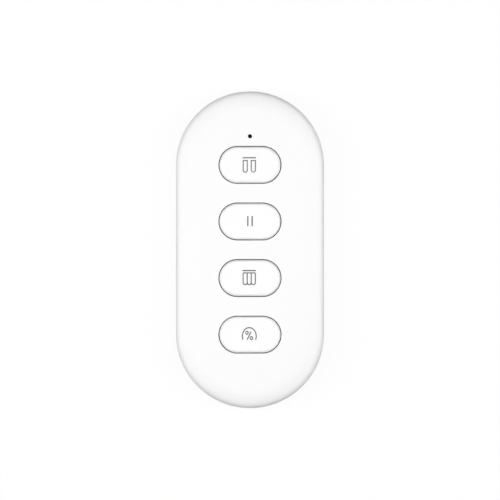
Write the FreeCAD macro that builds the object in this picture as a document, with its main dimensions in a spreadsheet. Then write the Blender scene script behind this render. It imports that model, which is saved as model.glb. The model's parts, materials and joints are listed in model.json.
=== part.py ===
import FreeCAD, Part
import os
import Sketcher

# Handheld remote control for a motorised curtain, in millimetres.
# The flat back lies on z = 0, +Y runs to the indicator end and +Z comes out of the front.
# Two half shells with round ends hold a circuit board with four key switches, a coin cell
# behind a sliding battery door, and four rigid keys that stand in the front wall.

document = FreeCAD.newDocument("RemoteControl")

# Driving dimensions. Each one is a real size that can be set by itself.
SIZES = (
    # outer form
    ("case_length", "105"),
    ("case_width", "49"),
    ("crown_reach", "7"),
    ("crown_angle", "25"),
    ("front_edge_radius", "3.2"),
    ("back_edge_radius", "2.2"),
    # walls and the lip that joins the two shells
    ("front_wall", "1.8"),
    ("side_wall", "1.8"),
    ("back_wall", "1.8"),
    ("parting_height", "5.2"),
    ("lip_height", "1"),
    ("lip_thick", "0.8"),
    ("lip_clearance", "0.1"),
    ("hook_length", "6"),
    ("hook_depth", "0.3"),
    ("hook_height", "0.5"),
    ("hook_spacing", "26"),
    # keys
    ("key_length", "20.3"),
    ("key_width", "11.8"),
    ("key_gap", "0.22"),
    ("key_pitch", "18.7"),
    ("key_proud", "0.25"),
    ("key_edge_bevel", "0.4"),
    ("key_wall", "1.2"),
    ("key_top_wall", "1.3"),
    ("key_rib_thick", "0.8"),
    ("key_post_side", "4.4"),
    ("key_post_height", "1.05"),
    ("key_travel", "0.3"),
    ("flange_width", "0.9"),
    ("flange_thick", "0.8"),
    ("flange_gap", "0.05"),
    ("flange_corner", "3"),
    ("guide_gap", "0.15"),
    ("guide_thick", "0.8"),
    ("guide_height", "1.1"),
    ("pad_side", "4"),
    ("pad_thick", "0.6"),
    # key switches
    ("switch_side", "6"),
    ("switch_corner", "0.5"),
    ("switch_floor", "0.3"),
    ("switch_base_height", "1.3"),
    ("switch_cover_thick", "0.2"),
    ("switch_clip_width", "2.4"),
    ("switch_clip_drop", "0.8"),
    ("dome_thick", "0.1"),
    ("plunger_side", "3"),
    ("plunger_rise", "0.6"),
    ("plunger_flange", "0.35"),
    ("plunger_gap", "0.15"),
    ("plunger_slack", "0.05"),
    ("terminal_width", "0.7"),
    ("terminal_length", "1.1"),
    ("terminal_thick", "0.15"),
    ("terminal_spacing", "4.5"),
    # pairing switch and its button
    ("pairing_x", "12.2"),
    ("pairing_y", "-14.5"),
    ("pairing_switch_side", "4.5"),
    ("pairing_plunger_side", "2"),
    ("pairing_travel", "0.25"),
    ("pairing_button_diameter", "2.8"),
    ("pairing_hole_gap", "0.2"),
    ("pairing_flange", "0.9"),
    # circuit board and what clamps it
    ("board_thick", "1"),
    ("board_gap", "0.4"),
    ("board_hole_gap", "0.15"),
    ("boss_x", "10.5"),
    ("boss_spacing", "5.55"),
    ("boss_diameter", "5.6"),
    ("post_x", "14"),
    ("post_setback", "11.5"),
    ("post_side", "4"),
    ("pin_diameter", "1.6"),
    ("screw_diameter", "2"),
    ("screw_head_diameter", "4"),
    ("screw_head_height", "1.2"),
    ("screw_length", "8"),
    ("screw_gap", "0.2"),
    ("screw_slack", "0.05"),
    ("screw_recess", "1.5"),
    # battery door and the deck above it
    ("door_width", "30"),
    ("door_start", "10"),
    ("door_thick", "1.4"),
    ("door_clearance", "0.15"),
    ("door_bevel", "0.15"),
    ("tongue_width", "1"),
    ("tongue_thick", "0.65"),
    ("tongue_clearance", "0.1"),
    ("deck_gap", "0.3"),
    ("deck_thick", "1.2"),
    ("detent_length", "6"),
    ("detent_width", "1.2"),
    ("detent_height", "0.2"),
    ("grip_length", "15"),
    ("grip_width", "8"),
    ("grip_depth", "0.5"),
    ("grip_y", "-17"),
    ("grip_rib_thick", "0.8"),
    ("grip_rib_pitch", "2.2"),
    # coin cell and its contacts
    ("cell_y", "-24"),
    ("cell_diameter", "20"),
    ("cell_height", "3.2"),
    ("cell_clearance", "0.35"),
    ("cell_cap_diameter", "17.6"),
    ("cell_cap_rise", "0.25"),
    ("cell_cap_depth", "0.8"),
    ("ring_gap", "0.2"),
    ("ring_thick", "1.2"),
    ("ring_top_gap", "0.3"),
    ("contact_height", "0.65"),
    ("contact_thick", "0.2"),
    ("contact_touch", "0.05"),
    ("contact_width", "4"),
    ("contact_slot_gap", "0.4"),
    ("contact_foot", "3"),
    ("leaf_length", "12"),
    ("leaf_width", "2.4"),
    ("leaf_spacing", "5"),
    # indicator
    ("indicator_spacing", "3.55"),
    ("indicator_hole", "1.1"),
    ("indicator_gap", "0.05"),
    ("indicator_recess", "0.12"),
    ("pipe_diameter", "2.4"),
    ("lamp_length", "3"),
    ("lamp_width", "1.6"),
    ("lamp_height", "0.5"),
    ("lamp_lens", "0.4"),
    # radio module and the larger components
    ("radio_setback", "4.9"),
    ("radio_gap", "1.3"),
    ("radio_length", "14"),
    ("radio_thick", "0.8"),
    ("shield_length", "9"),
    ("shield_margin", "1"),
    ("shield_height", "1.4"),
    ("shield_wall", "0.2"),
    ("antenna_setback", "6.5"),
    ("antenna_y", "20"),
    ("antenna_width", "5"),
    ("antenna_trace", "0.6"),
    ("antenna_pitch", "1.6"),
    ("antenna_thick", "0.2"),
    ("chip_x", "14"),
    ("chip_length", "5"),
    ("chip_width", "4"),
    ("chip_height", "1.5"),
    ("chip_lead_thick", "0.2"),
    ("chip_lead_pitch", "1.27"),
    ("chip_lead_width", "0.45"),
    ("chip_lead_reach", "1"),
    ("bulk_x", "-14"),
    ("bulk_length", "7.3"),
    ("bulk_width", "4.3"),
    ("bulk_height", "2"),
    ("crystal_y", "18.7"),
    ("crystal_length", "5"),
    ("crystal_width", "3.2"),
    ("crystal_height", "0.9"),
    ("small_part_length", "1.6"),
    ("small_part_width", "0.8"),
    ("small_part_height", "0.6"),
    ("small_part_pitch", "2.4"),
    ("small_part_y", "-16"),
)

# Places and heights that follow from the driving dimensions. The thickness of the case is
# the height of everything that is stacked inside it, so the stack always fits.
LAYOUT = (
    ("end_radius", "=Sizes.case_width / 2"),
    ("half_run", "=(Sizes.case_length - Sizes.case_width) / 2"),
    ("case_end", "=Sizes.case_length / 2"),
    ("first_key_y", "=Sizes.key_pitch * 3 / 2"),
    ("keys_end", "=first_key_y + Sizes.key_width / 2"),
    ("boss_y", "=-keys_end - Sizes.boss_spacing"),
    ("post_y", "=case_end - Sizes.post_setback"),
    ("indicator_y", "=keys_end + Sizes.indicator_spacing"),
    ("radio_near", "=indicator_y + Sizes.lamp_width / 2 + Sizes.radio_gap"),
    ("radio_far", "=case_end - Sizes.radio_setback"),
    ("radio_y", "=(radio_near + radio_far) / 2"),
    ("radio_width", "=radio_far - radio_near"),
    ("shield_width", "=radio_width - 2 * Sizes.shield_margin"),
    ("antenna_x", "=-end_radius + Sizes.antenna_setback"),
    ("cavity_radius", "=end_radius - Sizes.side_wall"),
    ("wall_middle", "=end_radius - Sizes.side_wall / 2"),
    ("deck_bottom", "=Sizes.door_thick + Sizes.deck_gap"),
    ("deck_top", "=deck_bottom + Sizes.deck_thick"),
    ("cell_bottom", "=Sizes.door_thick + Sizes.cell_clearance"),
    ("cell_top", "=cell_bottom + Sizes.cell_height"),
    ("board_bottom", "=cell_top + Sizes.contact_height"),
    ("board_top", "=board_bottom + Sizes.board_thick"),
    ("base_top", "=board_top + Sizes.switch_base_height"),
    ("cover_top", "=base_top + Sizes.switch_cover_thick"),
    ("plunger_top", "=cover_top + Sizes.plunger_rise"),
    ("pad_top", "=plunger_top + Sizes.pad_thick"),
    ("flange_bottom", "=pad_top + Sizes.key_post_height"),
    ("flange_top", "=flange_bottom + Sizes.flange_thick"),
    ("ceiling", "=flange_top + Sizes.flange_gap"),
    ("case_top", "=ceiling + Sizes.front_wall"),
    ("key_top", "=case_top + Sizes.key_proud"),
    ("key_hollow_top", "=key_top - Sizes.key_top_wall"),
    ("lip_bottom", "=Sizes.parting_height - Sizes.lip_height"),
    ("rebate_bottom", "=lip_bottom - Sizes.lip_clearance"),
    ("rebate_radius", "=cavity_radius + Sizes.lip_thick + Sizes.lip_clearance"),
    ("edge_shift", "=Sizes.front_edge_radius * (1 - sin(Sizes.crown_angle * 1deg))"),
    ("crown_radius", "=(Sizes.crown_reach - edge_shift) / sin(Sizes.crown_angle * 1deg)"),
    ("crown_start", "=end_radius - Sizes.crown_reach"),
    ("crown_join_z", "=case_top - crown_radius * (1 - cos(Sizes.crown_angle * 1deg))"),
    ("side_top", "=crown_join_z - Sizes.front_edge_radius * cos(Sizes.crown_angle * 1deg)"),
    ("inner_crown", "=crown_radius - Sizes.front_wall"),
    ("inner_side_top",
     "=case_top - crown_radius + sqrt(inner_crown^2 - (cavity_radius - crown_start)^2)"),
    ("key_half_run", "=(Sizes.key_length - Sizes.key_width) / 2"),
    ("key_radius", "=Sizes.key_width / 2"),
    ("flange_radius", "=key_radius + Sizes.flange_width"),
    ("guide_inside", "=flange_radius + Sizes.guide_gap"),
    ("guide_outside", "=guide_inside + Sizes.guide_thick"),
    ("door_half", "=Sizes.door_width / 2"),
    ("slot_half", "=door_half + Sizes.door_clearance"),
    ("tongue_half", "=door_half + Sizes.tongue_width"),
    ("tongue_bottom", "=Sizes.door_thick - Sizes.tongue_thick"),
    ("groove_half", "=tongue_half + Sizes.door_clearance"),
    ("groove_bottom", "=tongue_bottom - Sizes.tongue_clearance"),
    ("deck_half", "=groove_half + Sizes.deck_thick"),
    ("slot_start", "=-Sizes.door_start + Sizes.door_clearance"),
    ("end_wall_outside", "=cavity_radius - Sizes.door_clearance"),
    ("end_wall_inside", "=end_wall_outside - Sizes.deck_thick"),
    ("door_top", "=Sizes.parting_height - Sizes.lip_clearance"),
    ("screw_seat", "=deck_bottom + Sizes.screw_recess"),
    ("screw_tip", "=screw_seat + Sizes.screw_length"),
    ("cell_radius", "=Sizes.cell_diameter / 2"),
    ("ring_inside", "=cell_radius + Sizes.ring_gap"),
    ("ring_outside", "=ring_inside + Sizes.ring_thick"),
    ("ring_top", "=board_bottom - Sizes.ring_top_gap"),
    ("cap_radius", "=Sizes.cell_cap_diameter / 2"),
    ("cap_shoulder", "=cell_top - Sizes.cell_cap_rise"),
    ("clip_x", "=-cell_radius - Sizes.contact_touch"),
    ("board_radius", "=cavity_radius - Sizes.board_gap"),
    ("dome_rise", "=Sizes.key_travel + Sizes.dome_thick"),
    ("pairing_dome_rise", "=Sizes.pairing_travel + Sizes.dome_thick"),
    ("pairing_cover_bottom",
     "=board_bottom - Sizes.switch_base_height - Sizes.switch_cover_thick"),
    ("pairing_plunger_bottom", "=pairing_cover_bottom - Sizes.plunger_rise"),
    ("lamp_top", "=board_top + Sizes.lamp_height + Sizes.lamp_lens"),
    ("pipe_top", "=ceiling - Sizes.indicator_gap"),
    ("radio_top", "=board_top + Sizes.radio_thick"),
)

KEY_NAMES = ("open", "pause", "close", "percent")
CHIP_LEADS = 4
CAPACITORS = 4
RESISTORS = 5
EDGE_FLAT_COUNT = 2
BOARD_FLAT_COUNT = 6
FULL_TURN = 360
HALF_TURN = 180
EDGE_TOLERANCE = 1e-4


def fill_sheet(name, rows):
    """Write one sheet of named cells."""
    sheet = document.addObject("Spreadsheet::Sheet", name)
    for number, (alias, content) in enumerate(rows, start=1):
        sheet.set(f"A{number}", alias)
        sheet.set(f"B{number}", content)
        sheet.setAlias(f"B{number}", alias)
    document.recompute()
    return sheet


sizes = fill_sheet("Sizes", SIZES)
layout = fill_sheet("Layout", LAYOUT)


def value(expression):
    """Number that an expression on the two sheets gives."""
    result = layout.evalExpression(expression)
    return float(getattr(result, "Value", result))


def minus(expression):
    """The same expression with its sign turned."""
    return f"-({expression})"


def new_body(label, x="0", y="0"):
    """Empty body for one sub-part, placed at x and y."""
    body = document.addObject("PartDesign::Body", label)
    body.Label = label
    body.setExpression("Placement.Base.x", x)
    body.setExpression("Placement.Base.y", y)
    return body


def new_sketch(body, plane, name, x="0", y="0", z="0"):
    """Sketch on one of the body's own planes, moved along the plane's axes.

    On XZ_Plane the sketch's z points to -Y, and on YZ_Plane to +X.
    """
    support = next(item for item in body.Origin.OriginFeatures if item.Role == plane)
    sketch = body.newObject("Sketcher::SketchObject", name)
    sketch.AttachmentSupport = [(support, "")]
    sketch.MapMode = "FlatFace"
    sketch.setExpression("AttachmentOffset.Base.x", x)
    sketch.setExpression("AttachmentOffset.Base.y", y)
    sketch.setExpression("AttachmentOffset.Base.z", z)
    return sketch


def pin_point(sketch, geometry, point, x, y):
    """Tie a point of the sketch to two expressions."""
    for kind, axis, expression in (("DistanceX", -2, x), ("DistanceY", -1, y)):
        number = value(expression)
        if abs(number) < 1e-9:
            sketch.addConstraint(Sketcher.Constraint("PointOnObject", geometry, point, axis))
            continue
        index = sketch.addConstraint(
            Sketcher.Constraint(kind, -1, 1, geometry, point, number))
        sketch.setExpression(f"Constraints[{index}]", expression)


def draw(sketch, corners):
    """Closed outline through the corners, each an (x, y) pair of expressions.

    A corner with two more entries, a radius and +1 or -1, starts an arc to the next
    corner, with its centre to the left (+1) or to the right (-1) of the way there.
    """
    points = [FreeCAD.Vector(value(corner[0]), value(corner[1]), 0) for corner in corners]
    first = sketch.GeometryCount
    ends = []
    for number, corner in enumerate(corners):
        start = points[number]
        finish = points[(number + 1) % len(points)]
        if len(corner) == 2:
            sketch.addGeometry(Part.LineSegment(start, finish), False)
            ends.append((1, 2))
            continue
        radius = value(corner[2])
        turn = corner[3]
        chord = finish - start
        left = FreeCAD.Vector(-chord.y, chord.x, 0).normalize()
        height = max(radius ** 2 - (chord.Length / 2) ** 2, 0) ** 0.5
        centre = (start + finish) * 0.5 + left * height * turn
        middle = centre - left * turn * radius
        if turn > 0:
            sketch.addGeometry(Part.Arc(start, middle, finish), False)
            ends.append((1, 2))
        else:
            sketch.addGeometry(Part.Arc(finish, middle, start), False)
            ends.append((2, 1))
    for number, corner in enumerate(corners):
        before = (number - 1) % len(corners)
        sketch.addConstraint(Sketcher.Constraint(
            "Coincident", first + before, ends[before][1], first + number, ends[number][0]))
        pin_point(sketch, first + number, ends[number][0], corner[0], corner[1])
        after = (number + 1) % len(corners)
        chord = points[after] - points[number]
        if len(corner) > 2 and abs(chord.Length - 2 * value(corner[2])) < EDGE_TOLERANCE:
            pin_centre(sketch, first + number, corner, corners[after], abs(chord.x) < abs(chord.y))
        elif len(corner) > 2:
            index = sketch.addConstraint(
                Sketcher.Constraint("Radius", first + number, value(corner[2])))
            sketch.setExpression(f"Constraints[{index}]", corner[2])
    return sketch


def pin_centre(sketch, geometry, start, finish, upright):
    """Tie the centre of a half circle square to its chord, the one way that is free."""
    kind, axis, entry = ("DistanceX", -2, 0) if upright else ("DistanceY", -1, 1)
    expression = f"(({start[entry]}) + ({finish[entry]})) / 2"
    number = value(expression)
    if abs(number) < EDGE_TOLERANCE:
        sketch.addConstraint(Sketcher.Constraint("PointOnObject", geometry, 3, axis))
        return
    index = sketch.addConstraint(Sketcher.Constraint(kind, -1, 1, geometry, 3, number))
    sketch.setExpression(f"Constraints[{index}]", expression)


def flats(centre_x, centre_y, radius, start, finish, count=EDGE_FLAT_COUNT):
    """Corners of a few equal flats that follow an arc; the angles are in degrees."""
    corners = []
    for step in range(count + 1):
        angle = f"(({start}) + (({finish}) - ({start})) * {step} / {count}) * 1deg"
        corners.append((f"{centre_x} + {radius} * cos({angle})",
                        f"{centre_y} + {radius} * sin({angle})"))
    return corners


def draw_circle(sketch, x, y, radius):
    """Circle with a bound centre and radius."""
    centre = FreeCAD.Vector(value(x), value(y), 0)
    circle = sketch.addGeometry(Part.Circle(centre, FreeCAD.Vector(0, 0, 1), value(radius)))
    pin_point(sketch, circle, 3, x, y)
    index = sketch.addConstraint(Sketcher.Constraint("Radius", circle, value(radius)))
    sketch.setExpression(f"Constraints[{index}]", radius)
    return sketch


def draw_box(sketch, left, right, bottom, top):
    """Rectangle between two x and two y values."""
    return draw(sketch, [(left, bottom), (right, bottom), (right, top), (left, top)])


def draw_octagon(sketch, x, y, half):
    """Regular octagon about a point; half is the distance to its flats."""
    near = f"({half}) * (sqrt(2) - 1)"
    far = f"({half})"
    corners = [(near, minus(far)), (far, minus(near)), (far, near), (near, far),
               (minus(near), far), (minus(far), near), (minus(far), minus(near)),
               (minus(near), minus(far))]
    return draw(sketch, [(f"{x} + {dx}", f"{y} + {dy}") for dx, dy in corners])


def draw_cut_box(sketch, half_length, half_width, corner):
    """Rectangle about the sketch's origin with its four corners cut off."""
    x = f"({half_length})"
    y = f"({half_width})"
    return draw(sketch, [
        (f"-{x} + {corner}", minus(y)), (f"{x} - {corner}", minus(y)),
        (x, f"-{y} + {corner}"), (x, f"{y} - {corner}"),
        (f"{x} - {corner}", y), (f"-{x} + {corner}", y),
        (minus(x), f"{y} - {corner}"), (minus(x), f"-{y} + {corner}")])


def draw_case(sketch, radius):
    """Outline of the case, long in y, drawn in to the given end radius."""
    run = "Layout.half_run"
    return draw(sketch, [
        (radius, minus(run)), (radius, run, radius, 1),
        (minus(radius), run), (minus(radius), minus(run), radius, 1)])


def draw_key(sketch, radius):
    """Outline of a key, long in x, with the given end radius."""
    run = "Layout.key_half_run"
    return draw(sketch, [
        (minus(run), minus(radius)), (run, minus(radius), radius, 1),
        (run, radius), (minus(run), radius, radius, 1)])


def mirrored(half):
    """Whole section from its right half, whose first and last corners lie on the axis."""
    right = half[1:-1]
    left = []
    for number in range(len(right) - 1, -1, -1):
        x, y = right[number][:2]
        arc = right[number - 1][2:] if number > 0 else ()
        left.append((minus(x), y) + arc)
    return right + left


def add_feature(body, kind, name, sketch, **settings):
    """Sketch-based feature; a setting given as text is an expression."""
    feature = body.newObject(f"PartDesign::{kind}", name)
    feature.Profile = sketch
    for key, setting in settings.items():
        if isinstance(setting, str):
            feature.setExpression(key, setting)
        else:
            setattr(feature, key, setting)
    document.recompute()
    return feature


def pad(body, name, sketch, length, **settings):
    """Raise a sketch along its normal."""
    return add_feature(body, "Pad", name, sketch, Length=length, **settings)


def pocket(body, name, sketch, length, **settings):
    """Cut a sketch against its normal, or along it with Reversed=True."""
    return add_feature(body, "Pocket", name, sketch, Length=length, **settings)


def turn(body, kind, name, sketch, angle=FULL_TURN, backwards=False):
    """Revolve a sketch about its own vertical axis, as a Revolution or a Groove."""
    feature = body.newObject(f"PartDesign::{kind}", name)
    feature.Profile = sketch
    feature.ReferenceAxis = (sketch, ["V_Axis"])
    feature.Angle = angle
    feature.Reversed = backwards
    document.recompute()
    return feature


def row(body, name, features, axis, spacing, count):
    """Repeat features along X_Axis or Y_Axis, towards the negative side."""
    support = next(item for item in body.Origin.OriginFeatures if item.Role == axis)
    pattern = body.newObject("PartDesign::LinearPattern", name)
    pattern.Originals = features
    pattern.Direction = (support, [""])
    pattern.Reversed = True
    pattern.Occurrences = count
    pattern.setExpression("Length", f"({spacing}) * {count - 1}")
    body.Tip = pattern
    document.recompute()
    return pattern


def mirror(body, name, features, plane="YZ_Plane"):
    """Repeat features on the other side of one of the body's planes."""
    support = next(item for item in body.Origin.OriginFeatures if item.Role == plane)
    copy = body.newObject("PartDesign::Mirrored", name)
    copy.Originals = features
    copy.MirrorPlane = (support, [""])
    body.Tip = copy
    document.recompute()
    return copy


def bevel_edges(body, name, feature, size, wanted):
    """Chamfer on the edges whose boxes the test picks."""
    picked = [f"Edge{number}" for number, edge in enumerate(feature.Shape.Edges, start=1)
              if wanted(edge.BoundBox)]
    bevel = body.newObject("PartDesign::Chamfer", name)
    bevel.Base = (feature, picked)
    bevel.setExpression("Size", size)
    document.recompute()
    return bevel


def add_form(body, name, half, cut=False):
    """Sweep a half section round the outline of the case, as a solid or as a cut."""
    middle = new_sketch(body, "XZ_Plane", f"{name}MiddleSection")
    draw(middle, mirrored(half))
    length = "2 * Layout.half_run"
    if cut:
        pocket(body, f"{name}Middle", middle, length, Midplane=True)
    else:
        pad(body, f"{name}Middle", middle, length, Midplane=True)
    kind = "Groove" if cut else "Revolution"
    for end, offset, backwards in (
            ("Upper", "-Layout.half_run", False), ("Lower", "Layout.half_run", True)):
        section = new_sketch(body, "XZ_Plane", f"{name}{end}Section", z=offset)
        draw(section, half)
        turn(body, kind, f"{name}{end}", section, HALF_TURN, backwards)


def end_y(radius, half_width):
    """y where an arc about the lower end's centre meets a line at x = half_width."""
    return f"-Layout.half_run - sqrt(({radius})^2 - ({half_width})^2)"


def make_front_shell():
    """Front half: crowned face, lip, key openings with guides, bosses and hooks."""
    body = new_body("front_shell")
    seam = "Sizes.parting_height"
    add_form(body, "Outside", [
        ("0", seam), ("Layout.end_radius", seam)]
        + flats("Layout.end_radius - Sizes.front_edge_radius", "Layout.side_top",
                "Sizes.front_edge_radius", "0", "90 - Sizes.crown_angle")
        + flats("Layout.crown_start", "Layout.case_top - Layout.crown_radius",
                "Layout.crown_radius", "90 - Sizes.crown_angle", "90")[1:]
        + [("0", "Layout.case_top")])
    lip = new_sketch(body, "XY_Plane", "LipOutline", z=seam)
    draw_case(lip, "Layout.cavity_radius + Sizes.lip_thick")
    pad(body, "Lip", lip, "Sizes.lip_height", Reversed=True)
    add_form(body, "Inside", [
        ("0", "0"),
        ("Layout.cavity_radius", "0"),
        ("Layout.cavity_radius", "Layout.inner_side_top"),
        ("Layout.crown_start", "Layout.ceiling"),
        ("0", "Layout.ceiling")], cut=True)

    opening = new_sketch(body, "XY_Plane", "OpeningOutline",
                         y="Layout.first_key_y", z="Layout.case_top")
    draw_key(opening, "Layout.key_radius + Sizes.key_gap")
    cut = pocket(body, "Opening", opening, "Sizes.front_wall")
    row(body, "Openings", [cut], "Y_Axis", "Sizes.key_pitch", len(KEY_NAMES))

    guide = new_sketch(body, "XY_Plane", "GuideOutline",
                       y="Layout.first_key_y", z="Layout.ceiling")
    for side in (1, -1):
        draw(guide, [
            ("-Layout.key_half_run", f"{side} * Layout.guide_inside"),
            ("Layout.key_half_run", f"{side} * Layout.guide_inside"),
            ("Layout.key_half_run", f"{side} * Layout.guide_outside"),
            ("-Layout.key_half_run", f"{side} * Layout.guide_outside")][::side])
    raised = pad(body, "Guide", guide, "Sizes.guide_height", Reversed=True)
    row(body, "Guides", [raised], "Y_Axis", "Sizes.key_pitch", len(KEY_NAMES))

    window = new_sketch(body, "XY_Plane", "IndicatorHoleOutline",
                        y="Layout.indicator_y", z="Layout.case_top")
    draw_circle(window, "0", "0", "Sizes.indicator_hole / 2")
    pocket(body, "IndicatorHole", window, "Sizes.front_wall")

    boss = new_sketch(body, "XY_Plane", "BossOutline", z="Layout.board_top")
    bore = new_sketch(body, "XY_Plane", "BossBoreOutline", z="Layout.board_top")
    post = new_sketch(body, "XY_Plane", "PostOutline", z="Layout.board_top")
    for side in ("Sizes.boss_x", "-Sizes.boss_x"):
        draw_octagon(boss, side, "Layout.boss_y", "Sizes.boss_diameter / 2")
        draw_circle(bore, side, "Layout.boss_y", "Sizes.screw_diameter / 2")
    for side in ("Sizes.post_x", "-Sizes.post_x"):
        draw_post(post, side)
    inside_wall = "Layout.ceiling + Sizes.front_wall / 3 - Layout.board_top"
    pad(body, "Boss", boss, inside_wall)
    pad(body, "Post", post, inside_wall)
    pocket(body, "BossBore", bore, "Layout.screw_tip + Sizes.screw_gap - Layout.board_top",
           Reversed=True)
    add_hooks(body, "Hook", pad, "Layout.cavity_radius + Sizes.lip_thick", "0")
    return body


def draw_post(sketch, x):
    """Square section of a post that holds the board at its upper end."""
    half = "Sizes.post_side / 2"
    return draw_box(sketch, f"{x} - {half}", f"{x} + {half}",
                    f"Layout.post_y - {half}", f"Layout.post_y + {half}")


def add_hooks(body, name, operation, radius, extra):
    """Four snap hooks on the straight sides of the lip, or the recesses for them."""
    height = f"Sizes.hook_height + 2 * ({extra})"
    middle = "Layout.lip_bottom + Sizes.lip_height / 2"
    reach = f"{radius} + Sizes.hook_depth + {extra}"
    section = new_sketch(body, "XZ_Plane", f"{name}Section", z="-Sizes.hook_spacing / 2")
    for side in (1, -1):
        draw(section, [
            (f"{side} * (Layout.cavity_radius + Sizes.lip_thick / 2)",
             f"{middle} - ({height}) / 2"),
            (f"{side} * ({reach} - Sizes.hook_depth / 2)", f"{middle} - ({height}) / 2"),
            (f"{side} * ({reach})", f"{middle} + ({height}) / 4"),
            (f"{side} * ({reach})", f"{middle} + ({height}) / 2"),
            (f"{side} * (Layout.cavity_radius + Sizes.lip_thick / 2)",
             f"{middle} + ({height}) / 2")][::side])
    upper = operation(body, name, section, f"Sizes.hook_length + 2 * ({extra})",
                      Midplane=True)
    mirror(body, f"{name}Pair", [upper], "XZ_Plane")


def back_edge():
    """Corners of the edge round the back face, which the door continues."""
    radius = "Sizes.back_edge_radius"
    return flats(f"Layout.end_radius - {radius}", radius, radius, "-90", "0")


def make_rear_shell():
    """Rear half: back face, door slot, deck, cell ring, bosses, pins and snap recesses."""
    body = new_body("rear_shell")
    seam = "Sizes.parting_height"
    add_form(body, "Outside", [("0", "0")] + back_edge() + [
        ("Layout.end_radius", seam), ("0", seam)])
    cavity = new_sketch(body, "XY_Plane", "CavityOutline", z=seam)
    draw_case(cavity, "Layout.cavity_radius")
    pocket(body, "Cavity", cavity, f"{seam} - Sizes.back_wall")
    rebate = new_sketch(body, "XY_Plane", "RebateOutline", z=seam)
    draw_case(rebate, "Layout.rebate_radius")
    pocket(body, "Rebate", rebate, f"{seam} - Layout.rebate_bottom")

    deck = new_sketch(body, "XY_Plane", "DeckOutline", z="Layout.deck_bottom")
    deck_end = end_y("Layout.wall_middle", "Layout.deck_half")
    deck_front = "Layout.slot_start + Sizes.deck_thick"
    draw(deck, [
        ("-Layout.deck_half", deck_end, "Layout.wall_middle", 1),
        ("Layout.deck_half", deck_end),
        ("Layout.deck_half", deck_front),
        ("-Layout.deck_half", deck_front)])
    pad(body, "Deck", deck, "Sizes.deck_thick")
    wall = new_sketch(body, "XY_Plane", "EndWallOutline", z="Layout.deck_bottom")
    wall_half = "Layout.slot_half + Sizes.deck_thick"
    draw(wall, [
        (minus(wall_half), end_y("Layout.wall_middle", wall_half), "Layout.wall_middle", 1),
        (wall_half, end_y("Layout.wall_middle", wall_half)),
        (wall_half, end_y("Layout.end_wall_inside", wall_half),
         "Layout.end_wall_inside", -1),
        (minus(wall_half), end_y("Layout.end_wall_inside", wall_half))])
    pad(body, "EndWall", wall, "Layout.rebate_bottom - Layout.deck_bottom")
    cut_door_slot(body)

    ring = new_sketch(body, "XY_Plane", "RingOutline", y="Sizes.cell_y",
                      z="Layout.deck_bottom")
    draw_circle(ring, "0", "0", "Layout.ring_outside")
    pad(body, "Ring", ring, "Layout.ring_top - Layout.deck_bottom")
    hole = new_sketch(body, "XY_Plane", "CellHoleOutline", y="Sizes.cell_y",
                      z="Layout.deck_bottom")
    draw_circle(hole, "0", "0", "Layout.ring_inside")
    pocket(body, "CellHole", hole, "Layout.ring_top - Layout.deck_bottom", Reversed=True)
    gate = new_sketch(body, "XY_Plane", "ContactGateOutline", y="Sizes.cell_y",
                      z="Layout.deck_top")
    gate_half = "Sizes.contact_width / 2 + Sizes.contact_slot_gap"
    draw_box(gate, "-Layout.ring_outside - Sizes.ring_gap", "-Layout.ring_inside / 2",
             minus(gate_half), gate_half)
    pocket(body, "ContactGate", gate, "Layout.ring_top - Layout.deck_top", Reversed=True)

    bosses = new_sketch(body, "XY_Plane", "BossOutline", z="Layout.deck_top")
    shafts = new_sketch(body, "XY_Plane", "ScrewHoleOutline", z="Layout.deck_bottom")
    recesses = new_sketch(body, "XY_Plane", "ScrewRecessOutline", z="Layout.deck_bottom")
    for side in ("Sizes.boss_x", "-Sizes.boss_x"):
        draw_octagon(bosses, side, "Layout.boss_y", "Sizes.boss_diameter / 2")
        draw_circle(shafts, side, "Layout.boss_y",
                    "Sizes.screw_diameter / 2 + Sizes.screw_gap")
        draw_octagon(recesses, side, "Layout.boss_y",
                     "Sizes.screw_head_diameter / 2 + Sizes.screw_gap")
    pad(body, "Boss", bosses, "Layout.board_bottom - Layout.deck_top")
    pocket(body, "ScrewHole", shafts, "Layout.board_bottom - Layout.deck_bottom",
           Reversed=True)
    pocket(body, "ScrewRecess", recesses, "Sizes.screw_recess", Reversed=True)

    posts = new_sketch(body, "XY_Plane", "PostOutline", z="Sizes.back_wall")
    pins = new_sketch(body, "XY_Plane", "PinOutline", z="Layout.board_bottom")
    for side in ("Sizes.post_x", "-Sizes.post_x"):
        draw_post(posts, side)
        draw_octagon(pins, side, "Layout.post_y", "Sizes.pin_diameter / 2")
    pad(body, "Post", posts, "Layout.board_bottom - Sizes.back_wall")
    pad(body, "Pin", pins, "Sizes.board_thick")

    hatch = new_sketch(body, "XY_Plane", "PairingHoleOutline",
                       x="Sizes.pairing_x", y="Sizes.pairing_y", z="Layout.deck_bottom")
    draw_circle(hatch, "0", "0",
                "Sizes.pairing_button_diameter / 2 + Sizes.pairing_hole_gap")
    pocket(body, "PairingHole", hatch, "Sizes.deck_thick", Reversed=True)
    add_hooks(body, "HookRecess", pocket, "Layout.rebate_radius", "Sizes.lip_clearance")
    return body


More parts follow.
